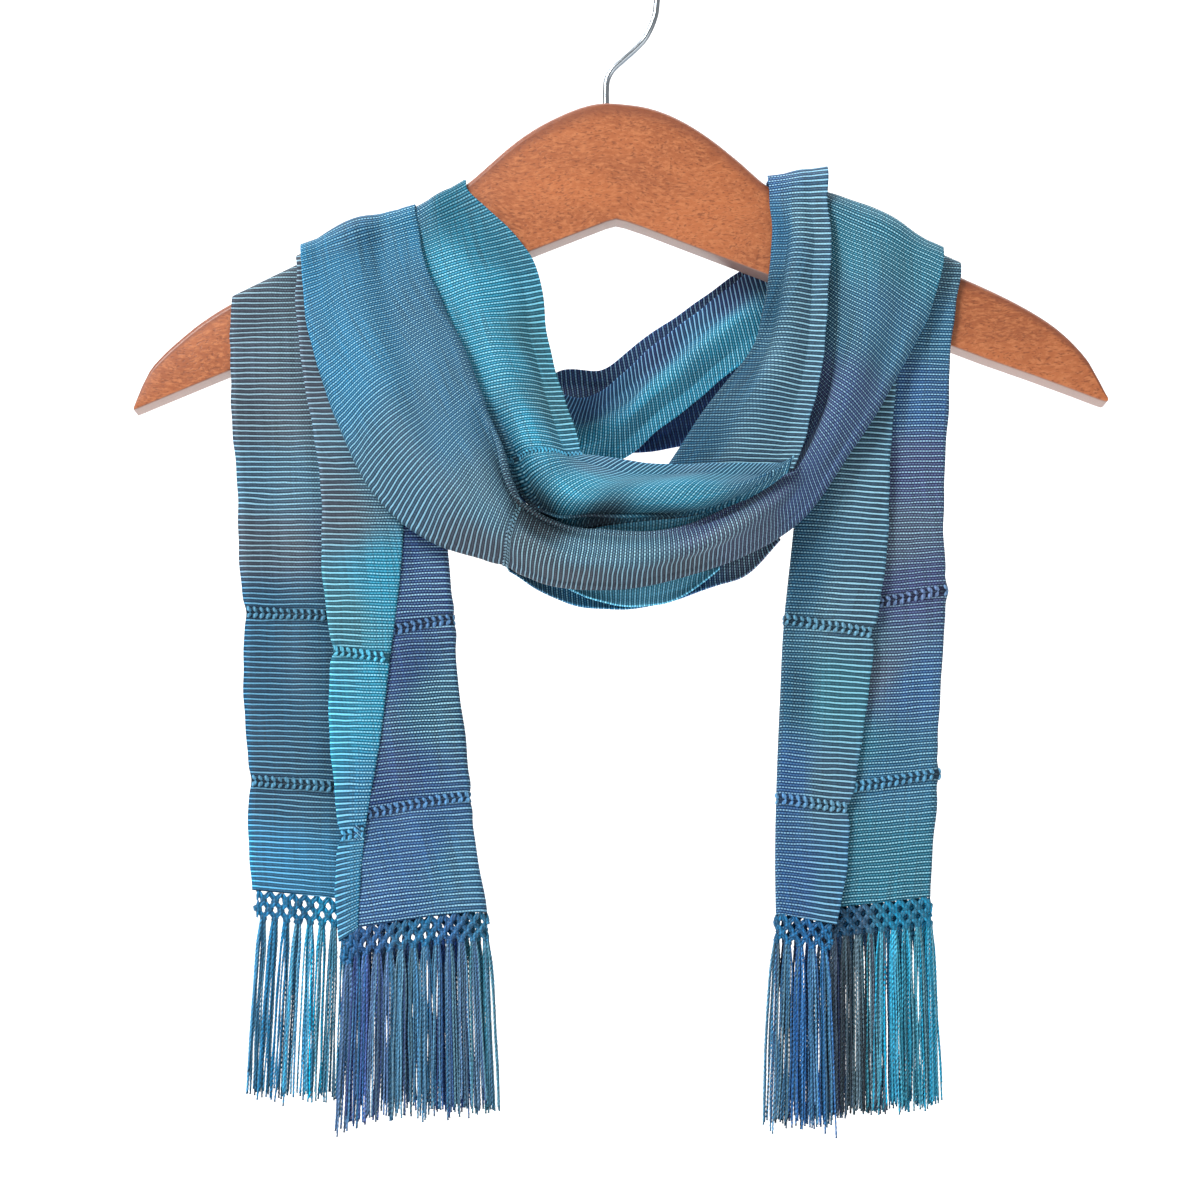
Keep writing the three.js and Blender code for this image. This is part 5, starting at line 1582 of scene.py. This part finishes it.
@dataclass
class Scarf:
    """All the stretches of the scarf, from tail to tail, with hemstitch and fringe."""

    weave: Finish = field(default_factory=RibbedWeave)

    def crossing(self) -> list[Cloth]:
        """The stretches that cross in front of the neck."""
        last = OUTER_ROWS[-2]
        outer = (over_arm(OUTER_ROWS[0], OUTER_ROWS[1], 22, 2.5) + list(OUTER_ROWS[1:-1])
                 + over_arm(OUTER_ROWS[-1], last, 22, 1.5)[::-1])
        inner = tucked(over_arm(INNER_ROWS[0], INNER_ROWS[1], 22, 2.5) + list(INNER_ROWS[1:]),
                       (4.5,) * 8 + (5.0, 4.0, 3.0, 3.0, 4.0, 6.0, 8.0, 9.0, 7.0, 4.0, 2.0))
        rise = over_arm(RISE_ROWS[0], RISE_ROWS[1], 30, 8.5) + list(RISE_ROWS[1:])
        return [
            Swath(
                "outer_swath", outer, 1, "cowl_outer", (0.057, 0.51), Held.DRAPED,
                (
                    Patch(0.5, 0.0, Dye.SLATE), Patch(0.1, 0.08, Dye.SKY, 0.9),
                    Patch(0.5, 0.08, Dye.STEEL, 0.6), Patch(0.9, 0.1, Dye.SKY, 0.6),
                    Patch(0.15, 0.2, Dye.STEEL), Patch(0.7, 0.2, Dye.SKY, 0.7),
                    Patch(0.2, 0.3, Dye.STEEL), Patch(0.85, 0.3, Dye.SLATE, 0.6),
                    Patch(0.4, 0.37, Dye.SLATE), Patch(0.9, 0.38, Dye.ASH, 0.4),
                    # The ink patch at 0.1 across, 0.42 along is painted shade in the hollow beside
                    # the pinch.
                    Patch(0.6, 0.42, Dye.ASH, 0.7), Patch(0.1, 0.42, Dye.INK_AND_SHADE, 0.2),
                    Patch(0.35, 0.46, Dye.SLATE, 1.0), Patch(0.9, 0.46, Dye.ASH, 0.5),
                    Patch(0.4, 0.5, Dye.SLATE, 1.0), Patch(0.9, 0.54, Dye.ASH, 0.5),
                    Patch(0.15, 0.57, Dye.VIOLET), Patch(0.5, 0.58, Dye.MAUVE, 1.0),
                    Patch(0.85, 0.6, Dye.MAUVE, 0.5), Patch(0.3, 0.65, Dye.VIOLET),
                    Patch(0.8, 0.67, Dye.IRIS, 0.5), Patch(0.2, 0.73, Dye.VIOLET, 0.8),
                    Patch(0.7, 0.74, Dye.IRIS, 0.7), Patch(0.2, 0.8, Dye.DEEP, 0.9),
                    Patch(0.7, 0.82, Dye.STEEL, 0.9), Patch(0.25, 0.87, Dye.TEAL, 1.0),
                    Patch(0.7, 0.89, Dye.TEAL, 1.0), Patch(0.3, 0.92, Dye.TEAL, 0.9),
                    Patch(0.08, 0.93, Dye.MAUVE, 0.4), Patch(0.05, 0.97, Dye.MAUVE, 0.4),
                    Patch(0.6, 0.96, Dye.SEAGREY, 0.6),
                ),
                ((0.0, 0.0), (0.4, 0.1), (0.65, 0.8), (1.0, 1.0)),
                (
                    (0.0, 0.05), (0.2, 0.1), (0.3, 0.9), (0.55, 1.0), (0.64, 0.5), (0.72, 0.1),
                    (1.0, 0.1),
                ),
                hem_half=1.7,
                creases=(
                    Crease(0.28, 0.5, 6, -2.8, 0.03, 0.38),
                    Crease(0.62, 0.78, 11, 2.4, 0.06, 0.38),
                    Crease(0.1, 0.14, 4.5, -6.0, 0.3, 0.47), Crease(0.3, 0.45, 5, -2.4, 0.4, 0.5),
                    Crease(0.08, 0.12, 7, 1.0, 0.06, 0.4), Crease(0.35, 0.3, 7, 1.4, 0.42, 0.66),
                    Crease(0.7, 0.55, 6, -1.6, 0.46, 0.72), Crease(0.4, 0.6, 9, 1.8, 0.66, 0.93),
                    Crease(0.2, 0.3, 6, -1.2, 0.7, 0.95), Crease(0.75, 0.8, 7, -1.4, 0.74, 0.95),
                ),
                hems=(13,), pitch=1.15, over=(True, True), rounded=(False, True), lip=8.0,
                places=50,
            ),
            Swath(
                "inner_swath", inner, -1, "cowl_inner", (0.042, 0.28), Held.DRAPED,
                (
                    Patch(0.7, 0.0, Dye.TEAL, 0.4), Patch(0.6, 0.15, Dye.TEAL, 0.4),
                    Patch(0.2, 0.1, Dye.STEEL, 0.9), Patch(0.15, 0.27, Dye.TURQUOISE, 1.0),
                    Patch(0.45, 0.3, Dye.TURQUOISE, 0.9), Patch(0.8, 0.25, Dye.TEAL, 0.5),
                    Patch(0.9, 0.38, Dye.SEAGREY, 0.5), Patch(0.3, 0.42, Dye.TURQUOISE, 1.0),
                    Patch(0.9, 0.5, Dye.SEAGREY, 0.8), Patch(0.45, 0.55, Dye.TURQUOISE, 1.0),
                    Patch(0.45, 0.68, Dye.TURQUOISE, 1.0), Patch(0.9, 0.65, Dye.STEEL, 1.0),
                    Patch(0.5, 0.8, Dye.TURQUOISE, 1.0), Patch(0.9, 0.8, Dye.STEEL, 1.0),
                    # The dark patches along the inner edge, from 0.55 to 0.85 along, are painted
                    # shade in its crease and under its curled lip.
                    Patch(0.06, 0.55, Dye.DEEP, 0.4), Patch(0.04, 0.66, Dye.INK_AND_SHADE, 0.1),
                    Patch(0.04, 0.76, Dye.INK_AND_SHADE, 0.1), Patch(0.03, 0.85, Dye.INK_AND_SHADE, 0.2),
                    Patch(0.25, 0.85, Dye.TURQUOISE, 1.0), Patch(0.7, 0.93, Dye.STEEL, 1.0),
                ),
                ((0.0, 0.0), (0.5, 0.1), (0.8, 0.7), (1.0, 1.0)),
                ((0.0, 0.1), (0.2, 0.2), (0.35, 1.0), (1.0, 1.0)), hem_half=1.7,
                creases=(
                    Crease(0.1, 0.1, 6.5, -8.0, 0.5, 0.95), Crease(0.3, 0.4, 7, 1.2, 0.1, 0.5),
                    Crease(0.62, 0.55, 6, -1.0, 0.15, 0.6), Crease(0.4, 0.5, 6, 1.0, 0.6, 0.98),
                    Crease(0.8, 0.75, 5, -0.8, 0.5, 0.9),
                ),
                hems=(13,), rounded=(False, True), places=42,
            ),
            Swath(
                "rising_swath", rise, -1, "cowl_rise", (0.039, 0.18), Held.DRAPED,
                (
                    Patch(0.5, 0.05, Dye.STEEL), Patch(0.6, 0.2, Dye.STEEL, 1.0),
                    Patch(0.1, 0.25, Dye.DENIM), Patch(0.6, 0.4, Dye.SLATE, 1.0),
                    Patch(0.12, 0.42, Dye.STEEL, 0.3), Patch(0.7, 0.62, Dye.SLATE, 1.0),
                    Patch(0.5, 0.75, Dye.SLATE, 1.0), Patch(0.12, 0.6, Dye.DEEP, 0.3),
                    Patch(0.12, 0.78, Dye.DEEP, 0.3), Patch(0.12, 0.95, Dye.DEEP, 0.3),
                    Patch(0.8, 0.95, Dye.SLATE, 1.0),
                ),
                ((0.0, 0.0), (0.35, 0.1), (0.6, 0.8), (1.0, 1.0)),
                ((0.0, 0.2), (0.25, 0.8), (1.0, 1.0)),
                creases=(
                    Crease(0.22, 0.36, 4, -2.4, 0.35, 1.0), Crease(0.45, 0.5, 7, 1.4, 0.3, 1.0),
                ),
                level=((0.0, 0.2), (0.3, 0.7), (1.0, 0.8)), ripple=0.2, places=38,
            ),
            Swath(
                "lower_pleat", [tuple(r) for r in PLEAT_ROWS], -1, "cowl_pleat", (0.048, 0.08),
                Held.FOLDED,
                (
                    # Both patches are paler than the pleat's yarn, as painted light on a pleat that
                    # lies in shadow.
                    Patch(0.5, 0.2, Dye.LAGOON_LIT, 1.0), Patch(0.5, 0.8, Dye.LAGOON_LIT, 1.0),
                ),
                ((0.0, 0.1), (0.75, 0.1), (0.9, 0.5), (1.0, 0.5)), over=(False, False), places=30,
                rests_on=("outer_swath",),
            ),
            Swath(
                "under_pleat", [tuple(r) for r in UNDER_ROWS], -1, "cowl_under", (0.028, 0.133),
                Held.FOLDED,
                (
                    Patch(0.5, 0.1, Dye.STEEL, 1.0), Patch(0.5, 0.4, Dye.SKY, 0.9),
                    Patch(0.5, 0.65, Dye.DENIM, 1.0), Patch(0.5, 0.9, Dye.MAUVE, 1.0),
                ),
                ((0.0, 0.1), (0.7, 0.1), (1.0, 0.2)), over=(False, False), places=24,
                rests_on=("outer_swath",),
            ),
        ]

    def behind(self) -> list[Cloth]:
        """The two stretches that cross behind the neck."""
        return [
            Swath(
                "back_low_swath", [tuple(r) for r in BACK_LOW_ROWS], -1, "back_swath_low",
                (0.05, 0.29), Held.DRAPED,
                (
                    Patch(0.7, 0.0, Dye.SKY), Patch(0.2, 0.02, Dye.TEAL),
                    Patch(0.6, 0.12, Dye.STEEL), Patch(0.5, 0.3, Dye.DEEP),
                    Patch(0.1, 0.45, Dye.DENIM), Patch(0.6, 0.45, Dye.TURQUOISE, 1.0),
                    Patch(0.1, 0.6, Dye.NAVY), Patch(0.6, 0.6, Dye.TURQUOISE, 1.0),
                    Patch(0.1, 0.75, Dye.NAVY), Patch(0.6, 0.73, Dye.TURQUOISE, 1.0),
                    Patch(0.5, 0.95, Dye.STEEL),
                ),
                ((0.0, 1.0), (0.25, 0.8), (0.4, 0.2), (1.0, 0.2)),
                creases=(
                    Crease(0.3, 0.35, 5, 1.4, 0.2, 0.8), Crease(0.6, 0.45, 6, -1.4, 0.4, 0.9),
                ),
                over=(False, False), places=36,
            ),
            Swath(
                "back_high_swath", [tuple(r) for r in BACK_HIGH_ROWS], -1, "back_swath_high",
                (0.049, 0.355), Held.DRAPED,
                (
                    Patch(0.5, 0.0, Dye.ASH), Patch(0.5, 0.1, Dye.SLATE),
                    Patch(0.5, 0.25, Dye.STEEL), Patch(0.3, 0.45, Dye.NAVY),
                    # The navy patches at 0.8 to 0.85 across, 0.5 to 0.75 along, with few or no pale
                    # picks, are the cloth's navy darkened as painted shade in the cowl's hollow.
                    Patch(0.8, 0.5, Dye.NAVY, 0.1), Patch(0.2, 0.6, Dye.NAVY),
                    Patch(0.85, 0.66, Dye.NAVY, 0.0), Patch(0.8, 0.75, Dye.NAVY, 0.2),
                    Patch(0.2, 0.8, Dye.NAVY), Patch(0.5, 0.9, Dye.DENIM),
                    Patch(0.6, 0.98, Dye.SEAGREY),
                ),
                ((0.0, 0.6), (0.3, 0.2), (0.8, 0.2), (1.0, 0.6)),
                creases=(
                    Crease(0.3, 0.5, 7, 1.3, 0.1, 0.45), Crease(0.65, 0.5, 7, -1.3, 0.4, 0.85),
                ),
                over=(False, False), places=36,
            ),
        ]

    def tails(self) -> list[Cloth]:
        """The two ends that hang in front of the arms."""
        left = over_arm(TAIL_LEFT_ROWS[0], TAIL_LEFT_ROWS[1], 15) + list(TAIL_LEFT_ROWS[1:])
        right = over_arm(TAIL_RIGHT_ROWS[0], TAIL_RIGHT_ROWS[1]) + list(TAIL_RIGHT_ROWS[1:])
        return [
            LeftTail(
                "left_tail", left, -1, "tail_left", (0.172, 0.315), Held.HUNG,
                (
                    Patch(0.15, 0.1, Dye.ASH, 0.6), Patch(0.15, 0.3, Dye.ASH, 0.6),
                    Patch(0.2, 0.42, Dye.SLATE, 0.7), Patch(0.1, 0.5, Dye.ASH, 0.6),
                    Patch(0.2, 0.6, Dye.DEEP, 0.4), Patch(0.2, 0.74, Dye.DEEP, 0.4),
                    Patch(0.2, 0.85, Dye.DEEP, 0.5), Patch(0.1, 0.96, Dye.SKY, 0.4),
                    Patch(0.8, 0.5, Dye.NAVY), Patch(3.2, 0.3, Dye.NAVY),
                    # The navy patches at 3.6 to 3.7, beside the pleat, are the middle layer's navy
                    # with fewer pale picks, partly painted shade cast by the front layer.
                    Patch(3.6, 0.45, Dye.NAVY, 0.4), Patch(3.2, 0.55, Dye.NAVY, 0.9),
                    Patch(3.7, 0.65, Dye.NAVY, 0.5), Patch(3.2, 0.72, Dye.DEEP, 1.0),
                    Patch(3.7, 0.8, Dye.NAVY, 0.6), Patch(3.5, 0.9, Dye.DENIM, 0.6),
                    Patch(3.1, 0.94, Dye.STEEL), Patch(3.8, 0.96, Dye.DENIM),
                    Patch(9.2, 0.1, Dye.ASH), Patch(9.7, 0.2, Dye.ASH, 0.5),
                    Patch(9.2, 0.35, Dye.SLATE), Patch(9.75, 0.4, Dye.ASH, 0.6),
                    Patch(9.2, 0.5, Dye.TURQUOISE, 0.7), Patch(9.7, 0.55, Dye.SEAGREY),
                    Patch(9.3, 0.66, Dye.TURQUOISE, 0.8), Patch(9.8, 0.7, Dye.TURQUOISE, 0.7),
                    Patch(9.3, 0.8, Dye.SKY, 0.8), Patch(9.5, 0.92, Dye.SKY, 0.6),
                ),
                (
                    (0.0, 1.0), (0.15, 0.85), (0.4, 0.5), (1.0, 0.4), (3.0, 0.6), (3.25, 0.1),
                    (7.0, 0.1), (9.0, 0.0), (9.35, 0.1), (9.6, 0.8), (10.0, 1.0),
                ),
                level=(
                    (0.0, 1.0), (0.25, 1.0), (0.5, 0.8), (0.75, 0.6), (0.9, 0.35), (1.0, 0.1),
                ),
                creases=(
                    Crease(0.08, 0.1, 9, 1.0, 0.2, 0.8), Crease(0.2, 0.16, 8, -1.0, 0.25, 0.95),
                    Crease(0.7, 0.72, 8, 0.7, 0.35, 1.0), Crease(0.8, 0.78, 6, -0.6, 0.4, 1.0),
                ),
                hems=(12, 14),
            ),
            RightTail(
                "right_tail", right, -1, "tail_right", (0.172, 0.315), Held.HUNG,
                (
                    Patch(0.5, 0.3, Dye.NAVY), Patch(0.5, 0.8, Dye.SLATE),
                    Patch(3.2, 0.1, Dye.SLATE), Patch(3.5, 0.15, Dye.SLATE),
                    Patch(3.15, 0.22, Dye.STEEL), Patch(3.3, 0.32, Dye.DENIM),
                    Patch(3.2, 0.42, Dye.VIOLET), Patch(3.4, 0.52, Dye.MAUVE),
                    Patch(3.2, 0.6, Dye.VIOLET, 0.6), Patch(3.6, 0.66, Dye.SLATE),
                    Patch(3.15, 0.72, Dye.DENIM), Patch(3.4, 0.7, Dye.MAUVE),
                    Patch(3.6, 0.8, Dye.TEAL), Patch(3.3, 0.84, Dye.STEEL),
                    Patch(3.6, 0.9, Dye.TEAL), Patch(3.2, 0.97, Dye.TEAL),
                    Patch(6.1, 0.3, Dye.TEAL), Patch(6.7, 0.25, Dye.SLATE, 1.0),
                    Patch(6.1, 0.42, Dye.DEEP, 0.4), Patch(6.6, 0.42, Dye.SLATE, 1.0),
                    Patch(6.1, 0.55, Dye.DEEP, 0.4), Patch(6.6, 0.58, Dye.SLATE, 1.0),
                    Patch(6.1, 0.7, Dye.DEEP, 0.5), Patch(6.6, 0.7, Dye.SEAGREY, 0.8),
                    Patch(6.15, 0.82, Dye.DENIM, 0.6), Patch(6.6, 0.82, Dye.SLATE, 0.8),
                    Patch(6.3, 0.95, Dye.DENIM, 0.6), Patch(6.8, 0.95, Dye.STEEL),
                ),
                (
                    (0.0, 0.6), (3.0, 0.2), (3.2, 0.1), (5.0, 0.0), (6.0, 0.0), (6.3, 0.25),
                    (6.55, 0.8), (7.0, 1.0),
                ),
                level=(
                    (0.0, 0.8), (0.25, 0.9), (0.5, 0.7), (0.9, 0.4), (1.0, 0.2),
                ),
                creases=(
                    Crease(0.45, 0.42, 8, 0.7, 0.25, 0.9), Crease(0.55, 0.58, 7, -0.7, 0.3, 1.0),
                    Crease(0.9, 0.92, 6, 0.7, 0.3, 0.95),
                ),
                hems=(12, 14),
            ),
        ]

    def fringes(self, left: Cloth, right: Cloth) -> list[Fringe]:
        """The knotted band and yarns below each tail."""
        return [
            Fringe(
                "left_fringe", "fringe_left", left,
                (
                    (0.0, Dye.SKY), (0.05, Dye.STEEL), (0.09, Dye.SKY), (0.14, Dye.DEEP),
                    (0.18, Dye.TURQUOISE), (0.25, Dye.STEEL), (0.32, Dye.NAVY), (0.5, Dye.NAVY),
                    (0.57, Dye.SEAGREY), (0.64, Dye.SLATE), (0.7, Dye.IRIS), (0.75, Dye.STEEL),
                    (0.83, Dye.SLATE), (0.87, Dye.IRIS), (0.94, Dye.IRIS), (1.0, Dye.STEEL),
                ),
                (76, 72), lambda x, share: 13.7 * share - 4.5 if share < 0.62 else (x + 92) * 0.1,
            ),
            Fringe(
                "right_fringe", "fringe_right", right,
                (
                    (0.0, Dye.NAVY), (0.2, Dye.SLATE), (0.34, Dye.TURQUOISE), (0.4, Dye.SEAGREY),
                    (0.46, Dye.TURQUOISE), (0.51, Dye.SEAGREY), (0.55, Dye.ASH), (0.59, Dye.INK_AND_SHADE),
                    (0.65, Dye.ASH), (0.72, Dye.NAVY), (0.8, Dye.INK_AND_SHADE), (0.83, Dye.STEEL),
                    (0.92, Dye.DENIM), (1.0, Dye.STEEL),
                ),
                (78, 78), lambda x, share: (x - 122) * 0.03 if share < 0.82 else (x - 88) * 0.25,
            ),
        ]

    def build(self) -> None:
        stretches = self.crossing() + self.behind() + self.tails()
        shown = {}
        for cloth in stretches:
            piece = cloth.build()
            piece.data.materials.append(self.weave.material())
            shown[cloth.name] = (cloth, piece, [])
            LOG.info("%s: %d points, mean width %.0f mm, length %.0f mm", cloth.name,
                     len(piece.data.vertices), cloth.sheet.across[:, -1].mean(),
                     cloth.sheet.along[-1])
            if cloth.hems:
                band = Hemstitch().build(cloth)
                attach(band, "root")
                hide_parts(cloth.stands_for)
                shown[cloth.name][2].append(band)
        for fringe in self.fringes(shown["left_tail"][0], shown["right_tail"][0]):
            parts = fringe.build()
            shown[fringe.tail.name][2].extend(parts)
            LOG.info("%s: %s faces", fringe.name, [len(p.data.polygons) for p in parts])
        for cloth, piece, extras in shown.values():
            cloth.declare(piece, extras)


def main() -> None:
    """Builds the studio, the hanger and the scarf."""
    logging.basicConfig(level=logging.INFO, format="%(message)s")
    Studio().build()
    for piece in Hanger().build():
        LOG.info("%s: %d faces", piece.name, len(piece.data.polygons))
    Scarf().build()


if __name__ == "__main__":
    main()
